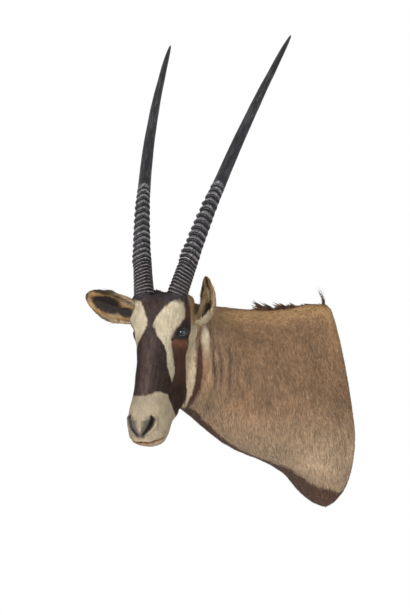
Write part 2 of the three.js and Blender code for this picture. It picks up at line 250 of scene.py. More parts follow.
def colour(name, description, default):
    return FloatVectorProperty(
        name=name, description=description, default=default, size=3, min=0, max=1, subtype="COLOR"
    )


class MOUNT_PG_hide(bpy.types.PropertyGroup):
    cell: length("Skin Cell", "Size of the skin's cells before the head is refined", 0.0053)
    cream: colour("Cream", "Pale patches of the face", (0.455, 0.388, 0.272))
    # Painted sheen down the ridge of the nose.
    nose_sheen: colour("Nose Ridge", "Paler purplish brown down the nose", (0.070, 0.039, 0.031))
    muzzle: colour("Muzzle", "Off-white hair round the nose and mouth", (0.385, 0.315, 0.212))
    dark: colour("Dark Markings", "Blaze and eye stripes", (0.026, 0.0122, 0.0092))
    stripes: colour("Stripes", "Jaw stripes, throat line and brisket", (0.060, 0.0255, 0.0150))
    russet: colour("Russet", "Redder brown under the eyes", (0.17, 0.066, 0.030))
    neck: colour("Neck", "Coat of the neck and shoulders", (0.212, 0.122, 0.065))
    pale_neck: colour("Pale Neck", "Lighter coat of the throat and lower chest", (0.375, 0.277, 0.18))
    crest: colour("Crest", "Golden hair along the top of the neck", (0.42, 0.25, 0.115))
    collar: colour("Horn Collar", "Dark hair round the feet of the horns", (0.020, 0.016, 0.020))
    nose: colour("Nose", "Bare grey skin between the nostrils", (0.050, 0.042, 0.040))
    lips: colour("Lips", "Painted skin where the lips meet", (0.27, 0.105, 0.035))
    face_hair: length("Face Hair", "Length of the short hair on the head", 0.0065)
    body_hair: length("Neck Hair", "Length of the hair on the neck and shoulders", 0.017)
    face_growth: IntProperty(name="Face Hairs", description="Hairs on the head", default=92000, min=1000)
    body_growth: IntProperty(
        name="Neck Hairs", description="Hairs on each side of the neck", default=95000, min=1000
    )


class MOUNT_PG_mane(bpy.types.PropertyGroup):
    hair: length("Mane Hair", "Length of the mane's hair", 0.062)
    growth: IntProperty(name="Mane Hairs", description="Short hairs under the locks", default=7000, min=100)
    locks: IntProperty(name="Mane Locks", description="Pointed locks in the mane", default=110, min=1)
    wisp: IntProperty(name="Wisp Hairs", description="Hairs in the tall wisp", default=46, min=1)
    tone: colour("Mane", "Colour of the mane", (0.062, 0.032, 0.020))


class MOUNT_PG_horns(bpy.types.PropertyGroup):
    rings: IntProperty(name="Rings", description="Raised rings on each horn", default=24, min=1, max=40)
    ring_height: length("Ring Height", "How far the boldest rings stand out", 0.0048)
    body: colour("Horn", "Colour of the horn", (0.011, 0.010, 0.012))
    # Paler horn on the crests of the rings: partly wear and partly painted highlight.
    worn_and_lit: colour("Worn Horn", "Colour where the horn is rubbed", (0.36, 0.34, 0.37))


class MOUNT_PG_ears(bpy.types.PropertyGroup):
    outside: colour("Ear Back", "Hair on the backs of the ears", (0.34, 0.215, 0.11))
    lining: colour("Ear Lining", "Golden hair inside the ears", (0.285, 0.165, 0.066))
    # The ears' near black: painted shade in the cups, and the dark rims and tips.
    shadow: colour("Ear Shadow", "Dark hair in the middle of the ears", (0.006, 0.003, 0.002))
    hair: length("Ear Hair", "Length of the hair inside the ears", 0.015)


class MOUNT_PG_eyes(bpy.types.PropertyGroup):
    iris: colour("Iris", "Pale blue-grey of the iris", (0.018, 0.023, 0.034))
    rim: colour("Lid Rim", "Bare skin round the eye", (0.018, 0.014, 0.013))
    lashes: IntProperty(name="Lashes", description="Lashes on each upper lid", default=46, min=0)


class MOUNT_PG_stage(bpy.types.PropertyGroup):
    key: FloatProperty(name="Key Light", description="Power of the main light", default=104, unit="POWER")
    fill: FloatProperty(name="Fill Light", description="Power of the fill light", default=52, unit="POWER")
    side: FloatProperty(name="Side Light", description="Power of the side light", default=44, unit="POWER")
    sky: FloatProperty(
        name="Surroundings", description="How bright the white room is on the mount", default=0.5,
        min=0, max=3,
    )


# ---- Arrays and meshes ----------------------------------------------------------------------------


def in_head(points):
    """Places in the head's own measures of points in metres."""
    return (points - HEAD_PLACE) @ HEAD_AXES.T / MM


def from_head(places):
    """Points in metres of places in the head's own measures."""
    return HEAD_PLACE + np.asarray(places, float) @ HEAD_AXES * MM


def on_side(places, side):
    """Places of the head's left half, moved over to a side: 1 for the left and -1 for the right."""
    return np.asarray(places, float) * (side, 1, 1)


def unit(vectors):
    return vectors / np.maximum(np.linalg.norm(vectors, axis=-1, keepdims=True), 1e-12)


def mixed(base, other, share):
    """base turned into other by a share for each row."""
    base = np.asarray(base)
    return base + share[:, None] * (np.asarray(other) - base)


def shaded(colours, change):
    """A colour, or one for each row, made lighter or darker by a share for each row."""
    return np.asarray(colours) * (1 + change)[:, None]


def ramp(values, start, end):
    """0 before start, 1 past end and smooth between them. The two may be either way round."""
    t = np.clip((values - start) / (end - start), 0, 1)
    return t * t * (3 - 2 * t)


def past(values, place, blur):
    """0 before a place and 1 past it, blurred that far to both sides. A blur below 0 swaps the two."""
    return ramp(values, place - blur, place + blur)


def hump(values, middle, spread, power=2):
    """1 at the middle, falling smoothly towards 0 beyond the spread."""
    return np.exp(-(((values - middle) / spread) ** power))


def table(values, rows):
    """The heights that rows of places and heights give for values, on straight lines between them."""
    places, heights = zip(*rows)
    return np.interp(values, places, heights)


# Large odd numbers that scramble a cell's place into a random value.
SCRAMBLE = np.array([73856093, 19349663, 83492791])


def noise(points, size, seed=0):
    """Smooth random values from -1 to 1, whose bumps are about one size across."""
    scaled = points / size + seed * 17.3
    cell = np.floor(scaled).astype(np.int64)
    part = scaled - cell
    part = part * part * (3 - 2 * part)
    total = 0
    for corner in np.ndindex(2, 2, 2):
        x, y, z = ((cell + corner) * SCRAMBLE).T
        bits = x ^ y ^ z ^ (seed * 2654435)
        bits = (bits ^ (bits >> 13)) * 1274126177 & 0x7FFFFFFF
        value = ((bits ^ (bits >> 15)) & 0xFFFF) / 32767.5 - 1
        weight = np.prod(np.where(corner, part, 1 - part), axis=1)
        total = total + weight * value
    return total


def noise_at(x, y, z, size, seed):
    """Smooth random values on a grid, from the grids of its places' three parts."""
    x, y, z = np.broadcast_arrays(x, y, z)
    return noise(np.column_stack([x.ravel(), y.ravel(), z.ravel()]), size, seed).reshape(x.shape)


def noise_vectors(points, size, seeds):
    return np.column_stack([noise(points, size, seed) for seed in seeds])


def beside_path(points, path):
    """Each point's distance from a path of straight runs, and its share of the way along the path."""
    path = np.asarray(path, float)
    nearest = np.full(len(points), np.inf)
    share = np.zeros(len(points))
    runs = len(path) - 1
    for i, (start, end) in enumerate(zip(path[:-1], path[1:])):
        run = end - start
        t = np.clip((points - start) @ run / (run @ run), 0, 1)
        gap = np.linalg.norm(points - start - t[:, None] * run, axis=1)
        closer = gap < nearest
        nearest = np.where(closer, gap, nearest)
        share = np.where(closer, (i + t) / runs, share)
    return nearest, share


def line_gap(points, path, widths):
    """How far outside a line of changing half width each point lies, and below 0 inside it."""
    gap, share = beside_path(points, path)
    return gap - np.interp(share, np.linspace(0, 1, len(path)), widths)


def on_left(places):
    """The places, with those right of the head's middle moved over to its left."""
    return np.column_stack([np.abs(places[:, 0]), places[:, 1:]])


def read(items, field, width=1, kind=np.float32):
    """A row of so many numbers for each of a mesh's items, such as the places of its points."""
    values = np.empty(len(items) * width, kind)
    items.foreach_get(field, values)
    return values.reshape(-1, width) if width > 1 else values


def coordinates(mesh):
    return read(mesh.vertices, "co", 3).astype(float)


def normals(mesh):
    return read(mesh.vertices, "normal", 3).astype(float)


def place_points(mesh, points):
    mesh.vertices.foreach_set("co", points.astype(np.float32).ravel())
    mesh.update()


def edge_ends(mesh):
    return read(mesh.edges, "vertices", 2, np.int32)


KEPT_AS = {1: ("FLOAT", "value"), 3: ("FLOAT_VECTOR", "vector"), 4: ("FLOAT_COLOR", "color")}


def keep(mesh, name, values, domain="POINT"):
    """Keeps one number, vector or colour for each point or corner of a mesh under a name."""
    values = np.asarray(values, np.float32)
    kind, field = KEPT_AS[1 if values.ndim == 1 else values.shape[1]]
    kept = mesh.attributes.get(name) or mesh.attributes.new(name, kind, domain)
    kept.data.foreach_set(field, values.ravel())


def numbers(mesh, name):
    """The numbers kept for a mesh's points under a name."""
    return read(mesh.attributes[name].data, "value").astype(float)


def with_alpha(colours):
    return np.column_stack([np.clip(colours, 0, 1), np.ones(len(colours))])


def shade_smooth(mesh):
    mesh.polygons.foreach_set("use_smooth", np.ones(len(mesh.polygons), bool))


def linked(name, data):
    """An object with the data, in the scene."""
    thing = bpy.data.objects.new(name, data)
    bpy.context.scene.collection.objects.link(thing)
    return thing


@contextmanager
def editing(mesh):
    """A mesh's points and faces to edit, which go back into the mesh at the end."""
    work = bmesh.new()
    try:
        work.from_mesh(mesh)
        yield work
        work.to_mesh(mesh)
    finally:
        work.free()


def add_piece(name, mesh, material, slot, *nodes):
    """A finished piece that rides on the mount and stands for CAD nodes."""
    mesh.name = name
    mesh.materials.clear()
    mesh.materials.append(material)
    piece = linked(name, mesh)
    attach(piece, "root")
    if nodes:
        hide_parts(*nodes)
    return piece


def mesh_from(name, points, faces):
    mesh = bpy.data.meshes.new(name)
    mesh.from_pydata(np.asarray(points).tolist(), [], [tuple(face) for face in faces])
    mesh.validate()
    shade_smooth(mesh)
    return mesh


def face_outwards(mesh):
    with editing(mesh) as work:
        bmesh.ops.recalc_face_normals(work, faces=work.faces)


def ring_faces(rings, sides, start=0):
    """Faces between rows of points that each run right round, closed by a face at both ends."""
    here = start + np.arange(rings - 1)[:, None] * sides + np.arange(sides)
    after = start + np.arange(rings - 1)[:, None] * sides + (np.arange(sides) + 1) % sides
    quads = np.stack([here, after, after + sides, here + sides], -1).reshape(-1, 4).tolist()
    first = list(range(start, start + sides))
    return quads + [first[::-1], [i + (rings - 1) * sides for i in first]]


def evaluated_mesh(holder):
    """The plain mesh that an object's modifiers make. The object is removed."""
    graph = bpy.context.evaluated_depsgraph_get()
    graph.update()
    mesh = bpy.data.meshes.new_from_object(
        holder.evaluated_get(graph), preserve_all_data_layers=True, depsgraph=graph
    )
    holder.modifiers.clear()
    bpy.data.objects.remove(holder)
    return mesh


class Bezier:
    """A curve of three points that is followed by its share of the length."""

    STEPS = 1600

    def __init__(self, root, bend, tip):
        t = np.linspace(0, 1, self.STEPS + 1)[:, None]
        self.points = (1 - t) ** 2 * root + 2 * t * (1 - t) * bend + t**2 * tip
        self.tangents = unit((1 - t) * (bend - root) + t * (tip - bend))
        runs = np.linalg.norm(np.diff(self.points, axis=0), axis=1)
        gone = np.concatenate([[0], np.cumsum(runs)])
        self.length = gone[-1]
        self.shares = gone / self.length

    def at(self, share):
        """The points and unit tangents at shares of the length."""
        point, tangent = (
            np.stack([np.interp(share, self.shares, part) for part in rows.T], -1)
            for rows in (self.points, self.tangents)
        )
        return point, unit(tangent)


# ---- Node trees -----------------------------------------------------------------------------------


def wire(tree, kind, inputs=None, **settings):
    """Adds a node. inputs maps a socket's name or number to a value or to another node's output."""
    node = tree.nodes.new(kind)
    for name, value in settings.items():
        setattr(node, name, value)
    for key, value in (inputs or {}).items():
        if isinstance(value, bpy.types.NodeSocket):
            tree.links.new(value, node.inputs[key])
        else:
            node.inputs[key].default_value = value
    return node


def vector_math(tree, operation, first, second=None):
    inputs = {0: first}
    if second is not None:
        inputs["Scale" if operation == "SCALE" else 1] = second
    node = wire(tree, "ShaderNodeVectorMath", inputs, operation=operation)
    return node.outputs["Value" if operation == "LENGTH" else "Vector"]


def number_math(tree, operation, *values):
    return wire(tree, "ShaderNodeMath", dict(enumerate(values)), operation=operation).outputs[0]


def new_material(name, values):
    """A material with a Principled shader, and that shader's tree and node."""
    material = bpy.data.materials.new(name)
    material.use_nodes = True
    tree = material.node_tree
    shader = tree.nodes["Principled BSDF"]
    for key, value in values.items():
        shader.inputs[key].default_value = value
    return material, tree, shader


def mix_colour(tree, share, first, second, blend="MIX"):
    node = wire(tree, "ShaderNodeMix", {0: share, 6: first, 7: second}, data_type="RGBA", blend_type=blend)
    return node.outputs[2]


def toned(tree, base, factor):
    """A colour made lighter or darker by a factor."""
    return mix_colour(tree, 1.0, base, factor, "MULTIPLY")


def attribute(tree, name):
    return wire(tree, "ShaderNodeAttribute", attribute_name=name)


def object_place(tree):
    return wire(tree, "ShaderNodeTexCoord").outputs["Object"]


def pattern(tree, place, scale, detail=3.0, roughness=0.55, stretch=(1, 1, 1)):
    """A noise pattern on a place, drawn out along the axes whose stretch is under 1."""
    spread = wire(tree, "ShaderNodeMapping", {"Vector": place, "Scale": stretch})
    return wire(
        tree,
        "ShaderNodeTexNoise",
        {"Vector": spread.outputs[0], "Scale": scale, "Detail": detail, "Roughness": roughness},
    ).outputs["Fac"]


def between(tree, value, low, high, to_low=0.0, to_high=1.0):
    """value from low to high turned into a number from to_low to to_high."""
    return wire(tree, "ShaderNodeMapRange", {0: value, 1: low, 2: high, 3: to_low, 4: to_high}).outputs[0]


def spanned(tree, noise_value, to_low=0.0, to_high=1.0):
    """A noise pattern, which mostly lies between 0.3 and 0.7, turned into a number between two others."""
    return between(tree, noise_value, 0.3, 0.7, to_low, to_high)


def dress(tree, shader, base, roughness=None, bumps=()):
    """Links a shader to its colour, its roughness and its bumps, each a height, strength and depth."""
    tree.links.new(base, shader.inputs["Base Color"])
    if roughness is not None:
        tree.links.new(roughness, shader.inputs["Roughness"])
    normal = None
    for height, strength, depth in bumps:
        bump = wire(tree, "ShaderNodeBump", {"Strength": strength, "Distance": depth, "Height": height})
        if normal is not None:
            tree.links.new(normal, bump.inputs["Normal"])
        normal = bump.outputs[0]
    if normal is not None:
        tree.links.new(normal, shader.inputs["Normal"])


def rgba(colour_value, factor=1.0):
    return (*(part * factor for part in colour_value), 1.0)


def skin_material(name):
    """Hide under the coat: its markings, with fine hair lines and pores."""
    material, tree, shader = new_material(name, {"Roughness": 0.72, "Specular IOR Level": 0.25})
    place = object_place(tree)
    coat = attribute(tree, "coat").outputs["Color"]
    lines = pattern(tree, place, 420, 4, 0.6, (1, 1, 0.16))
    blotches = pattern(tree, place, 26)
    base = toned(tree, coat, spanned(tree, lines, 0.72, 1.12))
    base = toned(tree, base, spanned(tree, blotches, 0.9, 1.08))
    dress(tree, shader, base, between(tree, lines, 0.2, 0.8, 0.62, 0.85), [(lines, 0.35, 0.0012)])
    return material


def hair_material(name):
    """Hair that takes its colour from the hide at its root, lighter or darker from lock to lock."""
    fleck, contrast, streaks, fleck_share = HAIR_LOOKS[name]
    low, high = 1 - contrast, 1 + contrast
    material, tree, shader = new_material(name, {"Roughness": 0.62, "Specular IOR Level": 0.28})
    coat = attribute(tree, "coat").outputs["Color"]
    root = attribute(tree, "root").outputs["Vector"]
    locks = pattern(tree, root, streaks, 4, 0.68, (1, 1, 0.18))
    shade = attribute(tree, "shade").outputs["Fac"]
    along = attribute(tree, "along").outputs["Fac"]
    base = toned(tree, coat, between(tree, locks, 0.34, 0.66, low, high))
    base = toned(tree, base, between(tree, shade, 0, 0.6, low, 1 + contrast / 2))
    base = mix_colour(tree, between(tree, shade, 0.70, 1.0, 0.0, fleck_share), base, rgba(fleck))
    base = toned(tree, base, between(tree, along, 0, 1, 0.62, 1.22))
    dress(tree, shader, base, spanned(tree, locks, 0.5, 0.72))
    skin_normal = attribute(tree, "skin_normal").outputs["Vector"]
    own_normal = wire(tree, "ShaderNodeNewGeometry").outputs["Normal"]
    blend = wire(tree, "ShaderNodeMix", {0: 0.4, 4: skin_normal, 5: own_normal}, data_type="VECTOR")
    tree.links.new(vector_math(tree, "NORMALIZE", blend.outputs[1]), shader.inputs["Normal"])
    return material


def horn_material(settings):
    """Dark horn: crests paler from wear and painted highlight, creases in painted shade, long fine growth
    lines.
    """
    material, tree, shader = new_material("horn", {"Specular IOR Level": 0.35})
    earth = (0.060, 0.040, 0.028)
    grain = attribute(tree, "grain").outputs["Vector"]
    height = attribute(tree, "ridge").outputs["Fac"]
    lines = pattern(tree, grain, 900, 4, 0.65, (1, 1, 0.035))
    flakes = pattern(tree, grain, 300, 5, 0.6, (1, 1, 0.5))
    clouds = pattern(tree, grain, 45, 3, 0.5, (1, 1, 0.35))
    # The rings' crests turn paler: partly wear and partly painted highlight.
    rubbed_and_lit = between(tree, height, 0.58, 0.98)
    rubbed_and_lit = number_math(tree, "MULTIPLY", rubbed_and_lit, between(tree, flakes, 0.38, 0.6))
    streaks = between(tree, lines, 0.5, 0.72, 0, 0.40)
    streaks = number_math(tree, "MULTIPLY", streaks, between(tree, clouds, 0.42, 0.62))
    worn_and_lit = number_math(tree, "MAXIMUM", rubbed_and_lit, streaks)
    along = wire(tree, "ShaderNodeSeparateXYZ", {0: grain}).outputs[2]
    earthy = between(tree, along, 0.14, 0.03, 0, 0.35)
    earthy = number_math(tree, "MULTIPLY", earthy, between(tree, clouds, 0.35, 0.6))
    base = mix_colour(tree, worn_and_lit, rgba(settings.body), rgba(settings.worn_and_lit))
    base = mix_colour(tree, earthy, base, rgba(earth))
    # The creases under the rings are painted near black: painted shade.
    base = toned(tree, base, between(tree, height, 0.05, 0.40, 0.05, 1.0))
    roughness = spanned(tree, flakes, 0.20, 0.40)
    dress(tree, shader, base, roughness, [(lines, 0.5, 0.0006), (flakes, 0.6, 0.001)])
    return material


def eye_material(settings):
    """A glass eye: long dark pupil, streaked blue-grey iris and brown edge under clear glass."""
    material, tree, shader = new_material("glass eye", {"Roughness": 0.16})
    black, brown = (0.003, 0.003, 0.004), (0.012, 0.008, 0.006)
    gaze = attribute(tree, "gaze").outputs["Vector"]
    in_pupil, flat = (
        wire(tree, "ShaderNodeMapping", {"Vector": gaze, "Scale": scale}).outputs[0]
        for scale in ((0.62, 1.25, 0), (1, 1, 0))
    )
    fibres = pattern(tree, vector_math(tree, "NORMALIZE", flat), 9, 3, 0.6)
    streaks = between(tree, fibres, 0.35, 0.65)
    base = mix_colour(tree, streaks, rgba(settings.iris), rgba(settings.iris, 0.45))
    edge = between(tree, vector_math(tree, "LENGTH", flat), 0.50, 0.68)
    base = mix_colour(tree, edge, base, rgba(brown))
    round_pupil = between(tree, vector_math(tree, "LENGTH", in_pupil), 0.20, 0.26)
    dress(tree, shader, mix_colour(tree, round_pupil, rgba(black), base))
    return material


def rim_material(settings):
    """The lids' bare rim: dark and finely creased."""
    material, tree, shader = new_material("lid rim", {})
    creases = pattern(tree, object_place(tree), 900, 4, 0.6)
    shares = spanned(tree, creases)
    base = mix_colour(tree, shares, rgba(settings.rim), rgba(settings.rim, 2.2))
    dress(tree, shader, base, spanned(tree, creases, 0.25, 0.5), [(creases, 0.4, 0.0004)])
    return material


def lash_material():
    """Lashes: nearly black, and browner at their tips."""
    material, tree, shader = new_material("lash", {"Roughness": 0.45})
    root_tone, tip_tone = (0.012, 0.009, 0.008), (0.05, 0.035, 0.028)
    along = attribute(tree, "along").outputs["Fac"]
    dress(tree, shader, mix_colour(tree, along, rgba(root_tone), rgba(tip_tone)))
    return material


def board_material():
    """Plywood: pale face veneer with long grain, and darker plies on the edge."""
    material, tree, shader = new_material("plywood", {"Specular IOR Level": 0.3})
    pale, dark = (0.56, 0.40, 0.24), (0.36, 0.225, 0.12)
    radians_a_metre = 1950.0  # A pale and a dark ply are 3.2 mm together.
    place = object_place(tree)
    grain = pattern(tree, place, 60, 6, 0.62, (1, 1, 0.06))
    fine = pattern(tree, place, 420, 4, 0.6, (1, 1, 0.03))
    depth = wire(tree, "ShaderNodeSeparateXYZ", {0: place}).outputs[1]
    layers = number_math(tree, "SINE", number_math(tree, "MULTIPLY", depth, radians_a_metre))
    base = mix_colour(tree, between(tree, grain, 0.35, 0.68), rgba(pale), rgba(dark))
    base = toned(tree, base, spanned(tree, fine, 0.86, 1.06))
    base = toned(tree, base, between(tree, layers, -0.2, 0.4, 0.72, 1.0))
    dress(tree, shader, base, spanned(tree, fine, 0.55, 0.75), [(fine, 0.3, 0.0005)])
    return material


def steel_material():
    """Zinc-plated steel: faint brushing and clouding."""
    material, tree, shader = new_material("zinc plate", {"Metallic": 1.0})
    dull, bright = (0.55, 0.56, 0.58), (0.72, 0.73, 0.74)
    place = object_place(tree)
    brushed = pattern(tree, place, 1400, 3, 0.6, (0.04, 1, 1))
    clouds = pattern(tree, place, 160)
    base = mix_colour(tree, spanned(tree, clouds), rgba(dull), rgba(bright))
    dress(tree, shader, base, spanned(tree, brushed, 0.25, 0.45), [(brushed, 0.15, 0.0002)])
    return material


def floor_material():
    """A plain pale floor."""
    material, tree, shader = new_material("floor", {"Specular IOR Level": 0.2})
    low, high = (0.86, 0.86, 0.86), (0.9, 0.9, 0.9)
    mottle = pattern(tree, object_place(tree), 3)
    base = mix_colour(tree, spanned(tree, mottle), rgba(low), rgba(high))
    dress(tree, shader, base, spanned(tree, mottle, 0.6, 0.75))
    return material


# ---- Skin -----------------------------------------------------------------------------------------


def smoothed(points, ends, rounds, held):
    """Irons out facets without shrinking the shape. held is 1 where a point stays put."""
    a, b = ends.T
    here, there = np.concatenate([a, b]), np.concatenate([b, a])
    count = np.maximum(np.bincount(here, minlength=len(points)), 1)[:, None]
    free = (1 - held)[:, None]
    for strength in (0.5, -0.5) * rounds:
        total = np.stack([np.bincount(here, points[there, k], len(points)) for k in range(3)], 1)
        points = points + strength * free * (total / count - points)
    return points


# Points of the cape this near to each other, in metres, become one.
WELD_GAP = 1e-5
# Rounds of smoothing over the whole skin and over its fine part, and how near to an eye, a nostril
# and the mouth, in millimetres, the skin is finer still.
WHOLE_ROUNDS, FINE_ROUNDS = 80, 7
EYE_REACH, NOSTRIL_REACH, MOUTH_REACH = 31, 13, 7
# How far outside the eyeball the lids still shape the skin, and how far it sinks between them.
LID_FADE, LID_SINK = 14, 3.5


def largest_part(mesh):
    """Removes everything but the mesh's largest connected part."""
    ends = edge_ends(mesh)
    label = np.arange(len(mesh.vertices))
    while True:
        least = np.minimum(label[ends[:, 0]], label[ends[:, 1]])
        new = label.copy()
        np.minimum.at(new, ends[:, 0], least)
        np.minimum.at(new, ends[:, 1], least)
        new = new[new]
        if (new == label).all():
            break
        label = new
    with editing(mesh) as work:
        work.verts.ensure_lookup_table()
        stray = [work.verts[i] for i in np.nonzero(label != np.bincount(label).argmax())[0]]
        bmesh.ops.delete(work, geom=stray, context="VERTS")


def even_skin(cell):
    """The cape as one even mesh, with the sockets of the horns, eyes and ears filled."""
    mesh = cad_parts["cape"].data.copy()
    turn = Matrix(HEAD_AXES.T.tolist()).to_4x4()
    with editing(mesh) as work:
        bmesh.ops.remove_doubles(work, verts=work.verts, dist=WELD_GAP)
        for place, size in SOCKET_FILLS:
            spread = Matrix.Diagonal([s * MM for s in size]).to_4x4()
            at = Matrix.Translation(from_head(place)) @ turn @ spread
            bmesh.ops.create_icosphere(work, subdivisions=4, radius=1, matrix=at)
        bmesh.ops.recalc_face_normals(work, faces=work.faces)
    holder = linked("skin cells", mesh)
    cells = holder.modifiers.new("cells", "REMESH")
    cells.mode, cells.voxel_size = "VOXEL", cell
    mesh = evaluated_mesh(holder)
    largest_part(mesh)
    return mesh


def refine(mesh, wanted):
    """Halves the cells whose points are all wanted."""
    with editing(mesh) as work:
        for vertex, want in zip(work.verts, wanted):
            vertex.tag = bool(want)
        edges = [e for e in work.edges if e.verts[0].tag and e.verts[1].tag]
        bmesh.ops.subdivide_edges(work, edges=edges, cuts=1, use_grid_fill=True)


# How far the head's skin reaches down and to each side, in the head's own measures.
HEAD_END, HEAD_SIDE = 400, 100
# The loose skin behind the jaw: it lies further out than one place and above another, in metres.
LOOSE_OUT, LOOSE_FOOT = -0.31, -0.02


def on_head(places):
    """True for places on the head, and False on the neck."""
    across, down, front = places.T
    return (front > table(down, HEAD_REAR)) & (down < HEAD_END) & (np.abs(across) < HEAD_SIDE)


def on_fine_part(points):
    """True on the head and on the loose skin behind the jaw."""
    loose = (points[:, 1] < LOOSE_OUT) & (points[:, 2] > LOOSE_FOOT)
    return on_head(in_head(points)) | loose


def blot(y, z, middle, reach):
    """1 at a place on the side of the neck, falling smoothly towards 0 beyond its reach each way."""
    return np.exp(-(((y - middle[0]) / reach[0]) ** 2 + ((z - middle[1]) / reach[1]) ** 2))


def eye_frames(side):
    """An eye's place, and its slit, height and gaze directions, in the head's own measures."""
    gaze = unit(on_side(EYE_GAZE, side))
    slit = on_side(EYE_SLIT, side)
    slit = unit(slit - slit @ gaze * gaze)
    rise = np.cross(gaze, slit)
    return on_side(EYE_PLACE, side), slit, rise * -np.sign(rise[1]), gaze


def lid_edge(along):
    """How high and how low the lids stand open at a share, from -1 to 1, of the way along the slit."""
    open_share = np.clip(1 - np.abs(along) ** 2.2, 0, 1)
    return LID["upper"] * open_share, LID["lower"] * open_share


def shape_lids(places):
    """Wraps the skin round each eyeball as lids, and sinks it behind the eyeball between them."""
    for side in SIDES.values():
        middle, slit, rise, gaze = eye_frames(side)
        from_eye = places - middle
        far = np.linalg.norm(from_eye, axis=1)
        out = from_eye / np.maximum(far, 1e-9)[:, None]
        along, high, facing = out @ slit, out @ rise, out @ gaze
        x, y = along * EYE_RADIUS, high * EYE_RADIUS
        upper, lower = lid_edge(x / LID["long"])
        is_open = (facing > 0) & (np.abs(x) < LID["long"]) & (y < upper) & (y > -lower)
        edge_gap = np.maximum(np.hypot(x / LID["long"], y / LID["height"]) - 1, 0) * 11
        wrapped = EYE_RADIUS + LID["thick"] * (1 - ramp(edge_gap, 2, LID["reach"]) * 0.9)
        near = (facing > -0.1) & (far < EYE_RADIUS + LID_FADE)
        lifted = np.where(near, np.maximum(far, wrapped), far)
        share = ramp(facing, 0.0, 0.35) * ramp(far, EYE_RADIUS + LID_FADE, EYE_RADIUS + 6)
        new_far = np.where(is_open & near, EYE_RADIUS - LID_SINK, far + (lifted - far) * share)
        places = middle + out * new_far[:, None]
    return places


def nostril_gap(mirrored):
    """Each place's distance from the nostril's middle line, and its width and depth there."""
    gap, share = beside_path(mirrored, NOSTRIL)
    stops = np.linspace(0, 1, len(NOSTRIL))
    return gap, np.interp(share, stops, NOSTRIL_WIDTH), np.interp(share, stops, NOSTRIL_DEPTH)


def sculpt_face(places, facing):
    """Moves the head's points, in its own measures, into brows, cheeks, nostrils and lips."""
    mirrored = on_left(places)
    lift = np.zeros(len(places))
    for place, spread, height in FACE_SWELLS:
        lift += height * hump(np.linalg.norm(mirrored - np.array(place), axis=1), 0, spread)
    gap, wide, deep = nostril_gap(mirrored)
    lift += 0.28 * deep * hump(gap, 2.1 * wide, 0.9 * wide)
    lift -= deep * hump(gap, 0, wide, 3)
    gap, share = beside_path(mirrored, MOUTH)
    lift -= 3.2 * hump(gap, 0, 2.6) * ramp(share, 1.0, 0.75)
    lift += 1.3 * hump(gap, 7, 4) * ramp(share, 1.0, 0.7)
    groove = hump(places[:, 0], 0, 2.2) * ramp(places[:, 1], 340, 362) * ramp(places[:, 2], -5, 10)
    lift -= 1.8 * groove
    return places + lift[:, None] * facing


def crease_depth(points):
    """How deep, in millimetres, the folds in the skin behind the jaw are at each point."""
    x, y, z = points.T
    depth = np.zeros(len(points))
    for seed, (out, deep, spread, lean) in enumerate(NECK_FOLDS, 60):
        gap = y + out - lean * (z - 0.1) - 0.009 * noise_at(0, z, 0, 0.05, seed)
        depth += deep * hump(gap, 0, spread)
    broken = np.clip(0.75 + 0.9 * noise(points, 0.035, 59), 0.1, 1.3)
    return depth * broken * ramp(z, -0.03, 0.07) * ramp(z, 0.27, 0.20) * ramp(x, 0.03, 0.06)


def fold_neck(points, facing):
    """Draws the loose skin behind the jaw into upright folds, and swells the shoulders."""
    x, y, z = points.T
    front = in_head(points)[:, 2]
    height = -crease_depth(points)
    shoulder = blot(y, z, (-0.10, -0.10), (0.11, 0.12)) * ramp(np.abs(x), 0.03, 0.09)
    hollow = blot(y, z, (-0.19, -0.02), (0.05, 0.12))
    broad = 6.0 * shoulder - 3.0 * hollow + 1.6 * noise(points, 0.06, 5) + 0.6 * noise(points, 0.02, 6)
    height += broad * ramp(front, -110, -150)
    return points + (height * MM * ramp(front, -100, -112) * ramp(y, -0.03, -0.07))[:, None] * facing


def make_skin(cell):
    """The hide's mesh, which also keeps how near each of its points is to a nostril."""
    mesh = even_skin(cell)
    points = coordinates(mesh)
    held = ramp(points[:, 1], -0.030, -0.016)
    place_points(mesh, smoothed(points, edge_ends(mesh), WHOLE_ROUNDS, held))
    refine(mesh, on_fine_part(coordinates(mesh)))
    places = in_head(coordinates(mesh))
    mirrored = on_left(places)
    close = beside_path(mirrored, NOSTRIL)[0] < NOSTRIL_REACH
    close |= beside_path(mirrored, MOUTH)[0] < MOUTH_REACH
    for side in SIDES.values():
        close |= np.linalg.norm(places - on_side(EYE_PLACE, side), axis=1) < EYE_REACH
    refine(mesh, close)
    points = coordinates(mesh)
    head = on_head(in_head(points))
    points = smoothed(points, edge_ends(mesh), FINE_ROUNDS, 1.0 - on_fine_part(points))
    place_points(mesh, points)
    facing = normals(mesh)
    places = in_head(fold_neck(points, facing))
    gap, wide, _ = nostril_gap(on_left(places))
    keep(mesh, "nostril", gap / wide)
    places = np.where(head[:, None], sculpt_face(places, facing @ HEAD_AXES.T), places)
    place_points(mesh, from_head(shape_lids(places)))
    shade_smooth(mesh)
    return mesh


# ---- Markings -------------------------------------------------------------------------------------


def eye_gap(places, side):
    """How far outside the lids' opening each place lies, roughly in millimetres."""
    middle, slit, rise, gaze = eye_frames(side)
    from_eye = places - middle
    x, y = from_eye @ slit, from_eye @ rise
    behind = np.maximum(-(from_eye @ gaze) + 2, 0)
    return (np.hypot(x / LID["long"], y / LID["height"]) - 1) * 10 + behind


# Near black painted into the nostrils as shade, and the colour of the bare lids.
NOSTRIL_SHADE, BARE_LID = (0.006, 0.005, 0.005), (0.010, 0.008, 0.008)


def degrees_round(across, front):
    """How far round the face places lie from its middle: above 0 on its left and below 0 on its right."""
    return np.degrees(np.arctan2(across, front + 45))


